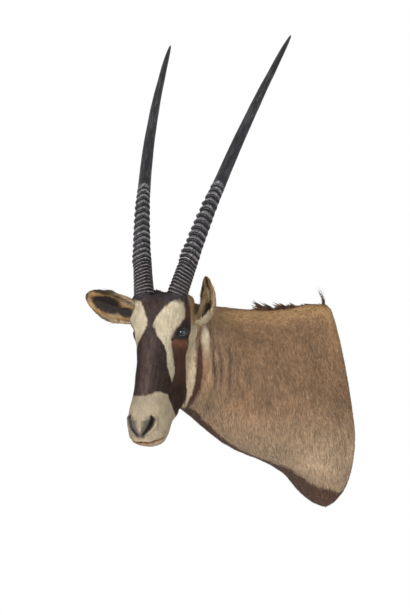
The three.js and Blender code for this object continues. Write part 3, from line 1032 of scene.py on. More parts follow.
def face_markings(places, ragged, tone, settings):
    """Colours of the cream face, eye stripes, blaze and tan by the horns, with some painted light and
    shade.
    """
    across, down, front = ragged.T
    girth = degrees_round(np.abs(across), front)
    dark, cream_start = np.array(settings.dark), table(down, CREAM_START)
    tan = shaded(np.array(settings.crest) * (0.88, 0.92, 1.05), 0.35 * noise(places * (1, 0.25, 1), 3, 8))
    colours = mixed(shaded(settings.cream, tone), tan, ramp(down, 68, 50) * ramp(front, -30, -40))
    # The cream band behind the eye stripe is painted lighter, as painted light, and warmer.
    behind = past(front, cream_start, -1.5) * ramp(down, 62, 85)
    colours *= 1 + behind[:, None] * (0.37, 0.28, 0.18)
    warm = hump(down, 114, 12) + 0.35 * hump(down, 165, 60) + 0.45 * ramp(down, 70, 45)
    hairs = 0.26 * noise(places * (1, 0.22, 1), 2.6, 16) + 0.16 * noise(places * (1, 0.3, 1), 6, 17)
    brown = shaded(mixed(dark, settings.russet, np.clip(warm, 0, 1) * 0.85), hairs)
    stripe = past(girth, table(down, EYE_STRIPE_START), 1.2) * past(front, cream_start, 1.5)
    colours = mixed(colours, brown, stripe)
    blaze = past(girth, table(down, BLAZE_EDGE), -1.2)
    blaze = np.maximum(blaze, ramp(down, 214, 220) * ramp(front, cream_start - 1, -40))
    # Down the middle of the nose the blaze turns a paler purplish brown, as painted sheen, and its sides
    # are darkened as painted shade.
    sheen_share = hump(girth, 0, 13) * ramp(down, 92, 128)
    blaze_tone = mixed(brown, dark, np.clip(1.2 - girth / 60, 0, 1))
    blaze_tone = mixed(blaze_tone, settings.nose_sheen, 0.6 * sheen_share)
    return mixed(colours, shaded(blaze_tone, 2.2 * hairs - 0.45 * hump(girth, 34, 16)), blaze)


def horn_collars(colours, places, ragged, settings):
    """Adds the dark hair round the feet of the horns and between them."""
    across, down, front = ragged.T
    collar = shaded(settings.collar, 0.5 * noise(places, 3, 7))
    for side in SIDES.values():
        root, bend = on_side(HORN_CURVE[:2], side)
        from_root, along = places - root, unit(bend - root)
        off_axis = np.linalg.norm(from_root - (from_root @ along)[:, None] * along, axis=1)
        inner = ramp(places[:, 0] * side, 60, 30)
        ring = ramp(off_axis + 2 * noise(places, 5, 10), 34 + 8 * inner, 30 + 5 * inner)
        colours = mixed(colours, collar, ring * ramp(down, 25, 14))
    crown = ramp(np.abs(across), 40, 26) * ramp(down, 24, 4) * ramp(front, -60, -35)
    return mixed(colours, collar, crown)


def muzzle_and_lips(colours, places, ragged, nostril, tone, settings):
    """Adds the pale muzzle, the bare nose, the painted lips, and painted shade in the nostrils and lip
    seam.
    """
    across, down, front = ragged.T
    girth = degrees_round(across, front)
    pale = shaded(settings.muzzle, 0.10 * noise(places, 14, 12) + tone)
    pale *= (0.82 + 0.34 * ramp(girth, 10, 60) + 0.20 * ramp(down, 374, 386))[:, None]
    colours = mixed(colours, pale, past(down, table(girth, MUZZLE_START), 2.0))
    mirrored = on_left(places)
    x, y, z = mirrored.T
    nose, lips = np.array(settings.nose), np.array(settings.lips)
    pad = ramp(nostril, 6.6, 2.8) * ramp(x - 33 + 0.55 * (y - 324), 12, 3) * ramp(y, 314, 334)
    pad = np.maximum(pad, hump(y, 371, 5) * ramp(x, 15, 8))
    colours = mixed(colours, nose, 0.9 * pad * ramp(z, -2, 10))
    # The nostrils darken inwards to near black: painted shade in their grooves.
    colours = mixed(colours, nose * 0.5, ramp(nostril, 2.0, 1.0) * 0.9)
    colours = mixed(colours, NOSTRIL_SHADE, ramp(nostril, 1.15, 0.5))
    gap, share = beside_path(mirrored, MOUTH)
    pale_lips = ramp(gap, 9.0, 2.5) * ramp(share, 0.65, 0.35) * 0.6
    colours = mixed(colours, lips * (1.4, 1.8, 2.4), pale_lips)
    colours = mixed(colours, lips, ramp(gap, 5.0, 2.4) * ramp(share, 0.9, 0.6) * 0.8)
    # The seam where the lips meet is painted near black: painted shade in the crease.
    return mixed(colours, lips * 0.14, ramp(gap, 3.6, 1.6) * ramp(share, 1.0, 0.85))


def bare_lids(colours, places, settings):
    """Adds the dark hair round the eyes and the bare skin of the lids and tear ducts."""
    dark = np.array(settings.dark)
    for side in SIDES.values():
        lid = eye_gap(places, side)
        tear = beside_path(on_side(places, side), TEAR_DUCT)[0]
        colours = mixed(colours, dark * 0.7, ramp(lid, 11, 4) * 0.85)
        colours = mixed(colours, BARE_LID, np.maximum(ramp(lid, 5.5, 2.8), ramp(tear, 5.0, 2.5)))
    return colours


def along_skin(ways, facing):
    """Unit directions of the parts of the ways that run along the skin."""
    return unit(ways - (ways * facing).sum(1)[:, None] * facing)


def neck_colours(points, places, settings):
    """Colours of the neck: taupe, golden crest, pale chest, dark throat line, brisket, painted shade in
    folds.
    """
    y, z = points[:, 1], points[:, 2]
    mirrored, down = on_left(places), places[:, 1]
    stripes = np.array(settings.stripes)
    tone = 0.12 * noise(points, 0.05, 11) + 0.08 * noise(points, 0.018, 12)
    close = 0.04 + 0.12 * ramp(y, -0.22, -0.38) * np.clip(0.6 + noise(points, 0.045, 13), 0, 1.3)
    tone += close * noise(points * (1, 1, 0.16), 0.009, 14) + 0.06 * noise(points * (1, 1, 0.3), 0.004, 15)
    loose = ramp(y, -0.29, -0.35) * ramp(z, 0.0, 0.08) * ramp(z, 0.26, 0.21)
    tone += 0.20 * loose * noise(points * (1, 1, 0.13), 0.013, 25)
    for out, up, along, high, change in NECK_TONES:
        tone += change * blot(y, z, (-out, up), (along, high))
    low = ramp(z, 0.04, -0.15) * 0.85 + 0.25 * ramp(y, -0.30, -0.42)
    pale = shaded(settings.pale_neck, tone)
    colours = mixed(shaded(settings.neck, tone), pale, np.clip(low, 0, 1) * 0.8)
    colours = mixed(colours, settings.crest, ramp(z - table(-y, NECK_TOP), -0.060, -0.010) * 0.85)
    colours = mixed(colours, settings.crest, 0.45 * ramp(y, -0.06, -0.03) * ramp(z, 0.1, 0.2))
    # The folds behind the jaw are darkened with their depth: painted shade in the creases.
    colours *= 1 - 0.60 * np.clip(crease_depth(points) / 4, 0, 1)[:, None] ** 1.3
    fold = line_gap(mirrored, CREAM_FOLD, FOLD_WIDTH) + 2.5 * noise(places, 10, 20)
    tanned = mixed(np.array(settings.cream) * 1.3, settings.crest, ramp(down, 90, 150))
    colours = mixed(colours, tanned, (0.6 + 0.3 * ramp(down, 110, 80)) * ramp(fold, 5, -4))
    stripe = line_gap(mirrored, JAW_STRIPE, JAW_WIDTH) + 1.5 * noise(places, 6, 21)
    colours = mixed(colours, stripes * (1.05, 0.90, 0.80), ramp(stripe, 1.5, -1.5))
    throat = line_gap(points, THROAT_LINE, THROAT_WIDTH) + 0.002 * noise(points, 0.008, 22)
    colours = mixed(colours, stripes, ramp(throat, 0.003, -0.003))
    brisket = table(-y, BRISKET_EDGE) + 0.004 * noise(points, 0.012, 23) + 0.002 * noise(points, 0.005, 24)
    return mixed(colours, stripes * 1.3, past(z, brisket, -0.006))


def hair_directions(points, places, facing, head):
    """The way each hair lies: from the brow up and down the face, and down the neck."""
    down, front = places[:, 1], places[:, 2]
    outwards = ACROSS * np.sign(places[:, :1])
    parting = np.tanh((down - 96) / 30)[:, None]
    on_face = DOWN * parting + outwards * (0.35 - 0.25 * np.abs(parting))
    cheek = ramp(front, 0, -50)[:, None]
    on_face = on_face * (1 - cheek) + (DOWN * 0.9 - FRONT * 0.45) * cheek
    y, z = points[:, 1], points[:, 2]
    forwards = ramp(z, 0.12, 0.25) * ramp(y, -0.03, -0.1)
    on_neck = np.column_stack([0 * y, 0.10 - 0.85 * forwards, -1 + 0.45 * forwards])
    on_neck += 0.12 * noise_vectors(points, 0.05, (31, 32, 33))
    return along_skin(np.where(head[:, None], on_face, on_neck), facing)


def off_wall(points):
    """0 next to the wall, where no hair grows, and 1 from a few millimetres out."""
    return ramp(points[:, 1], -0.0025, -0.006)


def keep_growths(mesh, points, places, head, nostril):
    """Keeps how thickly the short hair grows: not on eyes, horns, nostrils, lips and nose pad."""
    mirrored = on_left(places)
    growth = np.ones(len(points))
    for side in SIDES.values():
        from_root = places - on_side(HORN_CURVE[0], side)
        growth *= ramp(eye_gap(places, side), 1.5, 5)
        growth *= ramp(np.linalg.norm(from_root * (1, 0.4, 1), axis=1), 23, 25)
    growth *= ramp(nostril, 1.1, 1.9) * ramp(beside_path(mirrored, MOUTH)[0], 2, 5)
    x, y, z = mirrored.T
    growth *= 1 - ramp(y, 340, 356) * ramp(x, 26, 18) * ramp(z, 0, 12)
    on_neck = growth * off_wall(points) * ~head
    keep(mesh, "face_growth", growth * head)
    keep(mesh, "left_growth", on_neck * (points[:, 0] > 0))
    keep(mesh, "right_growth", on_neck * (points[:, 0] <= 0))


def keep_mane(mesh, points, facing):
    """Keeps how thickly the mane's tufts grow along the crest of the neck, and how long they are."""
    x, y = points[:, 0], points[:, 1]
    crest = ramp(np.abs(x - table(-y, CREST_MIDDLE) + 0.004), 0.012, 0.004) * (facing[:, 2] > 0.2)
    growth, longest = np.zeros(len(points)), np.zeros(len(points))
    for out, half, fullness in TUFTS:
        growth = np.maximum(growth, fullness * hump(y, -out, half, 4))
        longest = np.maximum(longest, (0.1 + 0.9 * fullness) * hump(y, -out, half))
    broken = 0.65 + 0.5 * noise_at(y, 0, 0, 0.006, 41)
    keep(mesh, "mane_growth", crest * growth * np.clip(broken, 0.1, 1) * off_wall(points))
    keep(mesh, "mane_length", 0.12 + 0.88 * longest * np.clip(broken + 0.2, 0, 1))


def mark_skin(mesh, settings):
    """Keeps the hide's colours, and where and how its hair grows."""
    points, facing = coordinates(mesh), normals(mesh)
    places = in_head(points)
    across, down, front = places.T
    head, nostril = on_head(places), numbers(mesh, "nostril")
    ragged = places + 2.2 * noise_vectors(places, 7, (1, 2, 3))
    ragged += 1.1 * noise_vectors(places, 2.6, (4, 5, 6))
    tone = 0.07 * noise(places, 30, 9) + 0.12 * noise(places * (1, 0.25, 1), 3.2, 18)
    face = face_markings(places, ragged, tone, settings)
    face = horn_collars(face, places, ragged, settings)
    face = muzzle_and_lips(face, places, ragged, nostril, tone, settings)
    face = bare_lids(face, places, settings)
    face_share = ramp(ragged[:, 2] - table(ragged[:, 1], CREAM_END), -1.5, 1.5)
    face_share *= ramp(down, HEAD_END, HEAD_END - 2)
    keep(mesh, "coat", with_alpha(mixed(neck_colours(points, places, settings), face, face_share)))
    keep(mesh, "skin_normal", facing)
    tufted = head * ramp(down, 18, 4) * ramp(front, -75, -45)
    by_horns = hump(np.abs(across), 34, 8) * np.where(across < 0, 1.5, 0.8)
    standing = (1.3 * tufted * by_horns)[:, None] * facing
    keep(mesh, "lay", unit(hair_directions(points, places, facing, head) + standing))
    length_share = np.where(head, 1 - 0.45 * ramp(down, 215, 300), 1.0)
    from_wall = 0.35 + 0.65 * ramp(points[:, 1], -0.004, -0.03)
    keep(mesh, "hair_length", length_share * from_wall * (1 + tufted * (0.8 * by_horns - 0.4)))
    keep_growths(mesh, points, places, head, nostril)
    keep_mane(mesh, points, facing)


# ---- Coat -----------------------------------------------------------------------------------------

GEOMETRY = "NodeSocketGeometry"
# What the tree that grows hair is given: the name and kind of each socket.
HAIR_INPUTS = (
    ("Skin", GEOMETRY),
    ("Growth", "NodeSocketString"),
    ("Density", "NodeSocketFloat"),
    ("Hair", "NodeSocketObject"),
    ("Length", "NodeSocketFloat"),
    ("Width", "NodeSocketFloat"),
    ("Lift", "NodeSocketFloat"),
    ("Scatter", "NodeSocketFloat"),
    ("Seed", "NodeSocketInt"),
    ("Map Cells", "NodeSocketFloat"),
    ("Material", "NodeSocketMaterial"),
)
# How far from the wall all hair stays.
WALL_GAP = 0.0006
# A short and a long hair, a metre long and wide, along +X and curving down: points and faces.
HAIR_SHAPES = {
    "short hair": (
        ((0, 0, 0), (0.45, -0.5, 0.045), (0.45, 0.5, 0.045), (1, 0, -0.03)),
        ((0, 1, 2), (1, 3, 2)),
    ),
    "long hair": (
        ((0, -0.4, 0), (0, 0.4, 0), (0.4, 0.5, 0.05), (0.4, -0.5, 0.05), (0.75, 0.32, 0.03),
         (0.75, -0.32, 0.03), (1, 0, -0.04)),
        ((0, 3, 2, 1), (3, 5, 4, 2), (5, 6, 4)),
    ),
}
# What a grown coat no longer needs, and the map's room for more hairs than were asked for.
SPENT, MAP_SPARE = ("cell", "hair_map", "lay", "hair_length"), 1.05


def named(tree, name, kind="FLOAT"):
    """The numbers or vectors kept under a name, or under the name that a socket gives."""
    node = wire(tree, "GeometryNodeInputNamedAttribute", {"Name": name}, data_type=kind)
    return node.outputs["Attribute"]


def store(tree, geometry, name, value, kind="FLOAT", domain="POINT"):
    """The geometry with a value kept for each of its points or corners under a name."""
    node = wire(
        tree, "GeometryNodeStoreNamedAttribute", {"Geometry": geometry, "Name": name},
        data_type=kind, domain=domain,
    )
    tree.links.new(value, node.inputs["Value"])
    return node.outputs[0]


def chance(tree, seed, low, high):
    """A random number, or a random vector, between two values for each point."""
    kind, first = ("FLOAT_VECTOR", 0) if isinstance(low, tuple) else ("FLOAT", 2)
    inputs = {first: low, first + 1: high, "Seed": seed}
    node = wire(tree, "FunctionNodeRandomValue", inputs, data_type=kind)
    return node.outputs[first // 2]


def hair_roots(tree, given):
    """Points where hairs grow. Each keeps a random shade, its place and its own cell in a square map."""
    growth = named(tree, given["Growth"])
    density = number_math(tree, "MULTIPLY", given["Density"], growth)
    roots = wire(
        tree, "GeometryNodeDistributePointsOnFaces",
        {"Mesh": given["Skin"], "Density": density, "Seed": given["Seed"]}, distribute_method="RANDOM",
    ).outputs["Points"]
    roots = store(tree, roots, "shade", chance(tree, 3, 0.0, 1.0))
    roots = store(tree, roots, "root", wire(tree, "GeometryNodeInputPosition").outputs[0], "FLOAT_VECTOR")
    number = wire(tree, "GeometryNodeInputIndex").outputs[0]
    column = number_math(tree, "MODULO", number, given["Map Cells"])
    row = number_math(tree, "FLOOR", number_math(tree, "DIVIDE", number, given["Map Cells"]))
    cell = wire(tree, "ShaderNodeCombineXYZ", {0: column, 1: row}).outputs[0]
    return store(tree, roots, "cell", cell, "FLOAT_VECTOR")


def hair_tree():
    """Grows hairs on a skin: each follows the skin's lay, lifted and scattered a little."""
    tree = bpy.data.node_groups.get("Grow hair")
    if tree:
        return tree
    tree = bpy.data.node_groups.new("Grow hair", "GeometryNodeTree")
    for name, kind in HAIR_INPUTS:
        tree.interface.new_socket(name=name, in_out="INPUT", socket_type=kind)
    tree.interface.new_socket(name="Coat", in_out="OUTPUT", socket_type=GEOMETRY)
    given = wire(tree, "NodeGroupInput").outputs
    roots = hair_roots(tree, given)
    stray = vector_math(tree, "SCALE", chance(tree, 5, (-1, -1, -1), (1, 1, 1)), given["Scatter"])
    normal = named(tree, "skin_normal", "FLOAT_VECTOR")
    way = vector_math(tree, "ADD", named(tree, "lay", "FLOAT_VECTOR"), stray)
    way = vector_math(tree, "ADD", way, vector_math(tree, "SCALE", normal, given["Lift"]))
    turn = wire(
        tree, "FunctionNodeAxesToRotation", {"Primary Axis": way, "Secondary Axis": normal},
        primary_axis="X", secondary_axis="Z",
    ).outputs[0]
    share = number_math(tree, "MULTIPLY", chance(tree, 7, 0.65, 1.15), named(tree, "hair_length"))
    long = number_math(tree, "MULTIPLY", given["Length"], share)
    size = wire(tree, "ShaderNodeCombineXYZ", {0: long, 1: given["Width"], 2: long}).outputs[0]
    hair = wire(tree, "GeometryNodeObjectInfo", {"Object": given["Hair"]}).outputs["Geometry"]
    grown = wire(
        tree, "GeometryNodeInstanceOnPoints",
        {"Points": roots, "Instance": hair, "Rotation": turn, "Scale": size},
    ).outputs[0]
    grown = wire(tree, "GeometryNodeRealizeInstances", {0: grown}).outputs[0]
    x, y, z = wire(
        tree, "ShaderNodeSeparateXYZ", {0: wire(tree, "GeometryNodeInputPosition").outputs[0]}
    ).outputs
    off_the_wall = number_math(tree, "MINIMUM", y, -WALL_GAP)
    place = wire(tree, "ShaderNodeCombineXYZ", {0: x, 1: off_the_wall, 2: z}).outputs[0]
    grown = wire(tree, "GeometryNodeSetPosition", {"Geometry": grown, "Position": place}).outputs[0]
    spot = named(tree, "cell", "FLOAT_VECTOR")
    spot = vector_math(tree, "ADD", spot, named(tree, "hair_map", "FLOAT_VECTOR"))
    spot = vector_math(tree, "SCALE", spot, number_math(tree, "DIVIDE", 1.0, given["Map Cells"]))
    grown = store(tree, grown, "OFBake", spot, "FLOAT2", "CORNER")
    done = wire(tree, "GeometryNodeSetMaterial", {"Geometry": grown, "Material": given["Material"]})
    wire(tree, "NodeGroupOutput", {0: done.outputs[0]})
    return tree


def hair_object(name):
    """One hair, which keeps how far along it each point is and its place in a cell of the map."""
    found = bpy.data.objects.get(name)
    if found:
        return found
    points, faces = HAIR_SHAPES[name]
    mesh = bpy.data.meshes.new(name)
    mesh.from_pydata(points, [], faces)
    shade_smooth(mesh)
    x, y, z = np.array(points, float).T
    keep(mesh, "along", x)
    in_cell = np.column_stack([0.15 + 0.7 * x, 0.5 + 0.6 * y, 0 * z])
    keep(mesh, "hair_map", in_cell[read(mesh.loops, "vertex_index", kind=np.int32)], "CORNER")
    return bpy.data.objects.new(name, mesh)


def grow_coat(name, skin, growth, hairs, length_m, form, seed, material, hair="short hair"):
    """Grows one coat of about that many hairs where a skin's growth says."""
    mesh = skin.copy()
    mesh.calc_loop_triangles()
    corners = read(mesh.loop_triangles, "vertices", 3, np.int32)
    a, b, c = coordinates(mesh)[corners].transpose(1, 0, 2)
    areas = np.linalg.norm(np.cross(b - a, c - a), axis=1) / 2
    grown_area = float((areas * numbers(mesh, growth)[corners].mean(1)).sum())
    holder = linked(name + " roots", mesh)
    modifier = holder.modifiers.new("coat", "NODES")
    modifier.node_group = tree = hair_tree()
    width, lift, scatter = HAIR_FORMS[form]
    values = {
        "Growth": growth,
        "Density": hairs / grown_area,
        "Hair": hair_object(hair),
        "Length": length_m,
        "Width": width,
        "Lift": lift,
        "Scatter": scatter,
        "Seed": seed,
        "Map Cells": float(math.ceil(math.sqrt(hairs * MAP_SPARE))),
        "Material": material,
    }
    sockets = {item.name: item.identifier for item in tree.interface.items_tree if item.in_out == "INPUT"}
    for key, value in values.items():
        modifier[sockets[key]] = value
    coat = evaluated_mesh(holder)
    if not len(coat.polygons):
        raise RuntimeError(f"no hair grew for {name}")
    for spent in [a.name for a in coat.attributes if a.name in SPENT or a.name.endswith("_growth")]:
        coat.attributes.remove(coat.attributes[spent])
    return add_piece(name, coat, material, "hide")


# ---- Horns ----------------------------------------------------------------------------------------


def ring_table(settings):
    """Where each ring of a horn stands along it, and how high and how wide it is, in millimetres.

    The last number of each is 0 for the fine rings low down and 1 for the knobs above them.
    """
    rings = []
    along = 4.0
    for ring in range(settings.rings):
        upper = float(ramp(ring, 9, 11))
        ending = float(ramp(ring, settings.rings - 1, settings.rings - 4))
        height = settings.ring_height / MM * (0.38 + 0.62 * upper) * (0.40 + 0.60 * ending)
        rings.append((along, height, 2.4 + 3.6 * upper, upper))
        spread = min(5.0 + 0.75 * (ring - 10), 10.5)
        along += 9.1 + upper * (spread - 5.0 * (1 - ending))
    return rings


# Points round a horn, and the steps along its ringed and along its smooth part.
HORN_SIDES, RINGED_STEP, SMOOTH_STEPS = 64, 0.85, 120


def horn_relief(up, turn, rings, side):
    """How far the surface stands out, and its ridges and creases, on a grid along and round a horn."""
    left = side > 0
    peak = np.radians(np.interp(up, (0, 110, 330), (-25, 5, 20) if left else (75, 45, 30)))
    chevron = np.interp(up, (0, 30, 110, 330), (2, 8, 11, 13))
    sway = noise_at(np.cos(turn), np.sin(turn), up / 40, 0.7, 51 + side)
    tilted = up + chevron * (1.4 * np.abs(np.sin((turn - peak) / 2)) ** 1.2 - 0.4) - 1.2 * sway
    in_front = ramp(np.cos(turn - 0.1), -0.55, 0.55)
    bold = 1 + 0.35 * left * ramp(np.sin(turn), 0.3, -0.6)
    rise, ridge, crease = np.zeros_like(up), np.zeros_like(up), np.zeros_like(up)
    for number, (place, height, width, upper) in enumerate(rings):
        gap = (tilted - place) / width
        shape = np.where(gap > 0, np.exp(-np.abs(gap * 0.68) ** 1.4), np.exp(-np.abs(gap * 2.6) ** 2.8))
        lumps = 1 + 0.3 * noise_at(turn * 1.8, number * 3.1, 0, 1.0, 62 + side)
        strength = (1 - upper) * (0.55 + 0.45 * in_front) + upper * (0.12 + 0.88 * in_front)
        rise += height * shape * strength * lumps * bold
        # Each ring's crest is paler, partly wear and partly painted highlight, and the crease under it is
        # painted shade.
        worn_and_lit = strength * (1 - 0.4 * upper) * lumps
        ridge = np.maximum(ridge, np.exp(-np.abs((gap - 0.25 * upper) * (1.7 - 0.9 * upper)) ** 2) * worn_and_lit)
        crease = np.maximum(crease, np.exp(-(((gap + 1.05) * (1.4 + 0.9 * upper)) ** 2)) * strength)
    rise -= 1.2 * crease
    rise += 0.5 * noise_at(np.cos(turn) * 14, np.sin(turn) * 14, up * 0.05, 3.0, 70)
    return rise, ridge, crease


def make_horn(side, settings):
    """A horn: fine rings low down, bold knobs in front above them, and a smooth drawn-out tip."""
    curve = Bezier(*(from_head(on_side(place, side)) for place in HORN_CURVE))
    total = curve.length / MM
    rings = ring_table(settings)
    ringed_end = rings[-1][0] + 30
    along = np.concatenate([
        np.arange(-HORN_BURIED, ringed_end, RINGED_STEP),
        np.linspace(ringed_end, total, SMOOTH_STEPS),
    ])
    share = np.clip(along / total, 0, 1)
    middle, tangent = curve.at(share)
    middle = middle + tangent * (np.minimum(along, 0) * MM)[:, None]
    front = unit(FRONT - (tangent @ FRONT)[:, None] * tangent)
    across = np.cross(tangent, front)
    across *= np.sign(across @ ACROSS)[:, None]
    angle = np.linspace(-np.pi, np.pi, HORN_SIDES, endpoint=False)
    up, turn = np.meshgrid(along, angle, indexing="ij")
    rise, ridge, crease = horn_relief(up, turn, rings, side)
    radius = np.interp(share, HORN_SHARE, HORN_RADIUS) - 1.2 * ramp(along, 90, 140) * ramp(along, 340, 290)
    radius = radius * (1 - 0.4 * ramp(along, 3, -10))
    radius = (radius[:, None] + rise * ramp(share, 1.0, 0.93)[:, None]) * MM
    aside, ahead = radius * np.sin(turn), radius * np.cos(turn)
    points = middle[:, None] + across[:, None] * aside[..., None] + front[:, None] * ahead[..., None]
    mesh = mesh_from("horn", points.reshape(-1, 3), ring_faces(len(along), HORN_SIDES))
    face_outwards(mesh)
    keep(mesh, "grain", np.stack([ahead, aside, up * MM], -1).reshape(-1, 3))
    # ridge carries the painted highlight on the rings' crests and the painted shade in their creases.
    keep(mesh, "ridge", np.clip(0.42 + 0.6 * ridge - 0.85 * crease, 0, 1).ravel())
    return mesh


# ---- Ears -----------------------------------------------------------------------------------------


def make_ear(name):
    """An ear: a leaf of hide curled into a cup, thin at its rim.

    Also gives, for each point, its share of the ear's length, its place across the cup, 1 inside the
    cup or 0 on its back, and the way its hair lies.
    """
    root, bend, tip, opening, breadth = EARS[name]
    curve = Bezier(from_head(root), from_head(bend), from_head(tip))
    along = unit(from_head(tip) - from_head(root))
    out = np.array(opening) @ HEAD_AXES
    out = unit(out - (out @ along) * along)
    across = np.cross(along, out)
    share = np.linspace(0, 1, EAR_STATIONS)
    radius = np.interp(share, EAR_SHARE, EAR_RADIUS) * breadth
    spread = np.radians(np.interp(share, EAR_SHARE, EAR_SPREAD[name]))
    for values in (radius, spread):
        values[1:-1] = (values[:-2] + values[1:-1] + values[2:]) / 3
    middle = curve.at(share)[0] + out * (radius * MM)[:, None]
    turn = np.linspace(-1, 1, EAR_ARC)
    near = np.interp(share, EAR_SHARE, EAR_NEAR[name])
    angle = spread[:, None] * turn * np.where(turn > 0, near[:, None], 1)
    grid_share = np.repeat(share[:, None], EAR_ARC, 1)
    edge = np.abs(turn) ** 4
    thick = (4.6 * (1 - edge) + 1.5 * edge) * (1 - 0.6 * ramp(grid_share, 0.75, 1.0))
    ridges = 0.8 * np.cos(angle * 9 + 0.6) * ramp(grid_share, 0.1, 0.3) * (1 - edge)
    wave = 0.5 * noise_at(grid_share * 9, angle, 0, 1.0, 80) * (1 + 3 * np.abs(turn) ** 3)

    def shell(size):
        aside, behind = size * MM * np.sin(angle), size * MM * np.cos(angle)
        return middle[:, None] + across * aside[..., None] - out * behind[..., None]

    outer = shell(radius[:, None] + wave)
    inner = shell(np.maximum(radius[:, None] - thick + wave + ridges, 1.0))
    loops = np.concatenate([outer, inner[:, ::-1]], axis=1)
    mesh = mesh_from("ear", loops.reshape(-1, 3), ring_faces(EAR_STATIONS, 2 * EAR_ARC))
    face_outwards(mesh)
    share = np.repeat(share, 2 * EAR_ARC)
    turn = np.tile(np.concatenate([turn, turn[::-1]]), EAR_STATIONS)
    within = np.tile(np.repeat([0.0, 1.0], EAR_ARC), EAR_STATIONS)
    inwards = -across * np.sign(turn)[:, None] * within[:, None] * ramp(np.abs(turn), 0.3, 0.8)[:, None]
    return mesh, share, turn, within, along + 0.5 * inwards


def colour_ear(name, share, turn, within, settings, cream):
    """The ear's colours: golden lining with painted shade and highlights, dark rim and tip, tan back, pale
    root.
    """
    rough = noise_at(share * 30, turn * 4, within, 1.0, 90)
    fine = noise_at(share * 60, turn * 22, within, 1.0, 91)
    back = shaded(mixed(settings.outside, cream, ramp(share, 0.5, 0.2) * 0.8), 0.10 * rough)
    lining = shaded(settings.lining, 0.55 * fine)
    # Painted shade inside the cup, with its darker hair.
    for along, over, reach, breadth, strength in EAR_SHADE_AND_DARK_HAIR[name]:
        gap = np.hypot((share - along) / reach, (turn - over) / breadth) + 0.12 * fine
        lining = mixed(lining, settings.shadow, strength * ramp(gap, 1.15, 0.80))
    # Painted highlights on the folds, and pale tufts.
    for along, over, reach, breadth, strength in EAR_HIGHLIGHTS_AND_TUFTS[name]:
        gap = np.hypot((share - along) / reach, (turn - over) / breadth) + 0.2 * fine
        lining = mixed(lining, cream * 0.9, strength * ramp(gap, 1.2, 0.6))
    lining = mixed(lining, cream * 0.8, 0.6 * ramp(np.abs(turn), 0.86, 0.96) * ramp(share, 0.75, 0.6))
    far_edge = (turn < 0) if name == "left" else np.ones(len(turn), bool)
    rim = ramp(np.abs(turn), 0.93, 0.99) * ramp(share, 0.5, 0.62) * far_edge
    dark = np.clip(rim * 0.9 + ramp(share, 0.95, 0.985) * 0.85, 0, 1)
    return mixed(mixed(back, lining, within), settings.shadow, dark)


def mark_ear(mesh, colours, share, turn, within, lay):
    """Keeps an ear's colours, and where and how its short hair and its lining grow."""
    facing = normals(mesh)
    lining = within * ramp(np.abs(turn), 0.55, 0.8) * ramp(share, 0.1, 0.25) * ramp(share, 0.9, 0.7)
    keep(mesh, "coat", with_alpha(colours))
    keep(mesh, "skin_normal", facing)
    keep(mesh, "lay", along_skin(lay, facing))
    keep(mesh, "short_growth", ramp(share, 0.06, 0.14) * (1 - 0.35 * within))
    keep(mesh, "long_growth", lining)
    keep(mesh, "hair_length", 1 - 0.45 * ramp(share, 0.5, 1.0))


# ---- Eyes -----------------------------------------------------------------------------------------


def make_eyeball(side):
    """A glass eyeball with a slightly raised front, which keeps its own gaze directions."""
    middle, slit, rise, gaze = eye_frames(side)
    rings, sides, bulge, bulge_reach = 40, 56, 0.03, 0.5
    lean, angle = np.meshgrid(
        np.linspace(0.02, math.pi - 0.02, rings), np.linspace(0, 2 * np.pi, sides, endpoint=False),
        indexing="ij",
    )
    radius = EYE_RADIUS * (1 + bulge * hump(lean, 0, bulge_reach))
    local = np.stack([np.sin(lean) * np.cos(angle), np.sin(lean) * np.sin(angle), np.cos(lean)], -1)
    places = middle + (local @ np.array([slit, rise, gaze])) * radius[..., None]
    mesh = mesh_from("eye", from_head(places.reshape(-1, 3)), ring_faces(rings, sides))
    face_outwards(mesh)
    keep(mesh, "gaze", local.reshape(-1, 3))
    return mesh


def lid_outline(side, count, grow=0.0):
    """Points round the lids' opening on the eyeball, in the head's own measures, and their ways out."""
    middle, slit, rise, gaze = eye_frames(side)
    angle = np.linspace(0, 2 * np.pi, count, endpoint=False)
    x = LID["long"] * np.cos(angle)
    upper, lower = lid_edge(np.cos(angle) * 0.999)
    y = np.where(np.sin(angle) >= 0, upper, -lower)
    away = unit(np.stack([x, y, np.sqrt(np.maximum(EYE_RADIUS**2 - x**2 - y**2, 1))], 1))
    out = away @ np.array([slit, rise, gaze])
    return middle + out * (EYE_RADIUS + grow), out


def make_lid_rim(side):
    """The bare rim of the lids: a soft ring that closes the gap between skin and glass."""
    count, sides, raised, tall, wide = 72, 10, 0.9, 1.5, 1.9
    path, out = lid_outline(side, count, raised)
    across = np.cross(unit(np.roll(path, -1, 0) - np.roll(path, 1, 0)), out)
    angle = np.linspace(0, 2 * np.pi, sides, endpoint=False)[:, None]
    ring = path[:, None] + tall * out[:, None] * np.cos(angle) + wide * across[:, None] * np.sin(angle)
    here = np.arange(count)[:, None] * sides + np.arange(sides)
    after = np.roll(here, -1, 0)
    quads = np.stack([here, np.roll(here, -1, 1), np.roll(after, -1, 1), after], -1).reshape(-1, 4)
    mesh = mesh_from("rim", from_head(ring.reshape(-1, 3)), quads)
    face_outwards(mesh)
    return mesh


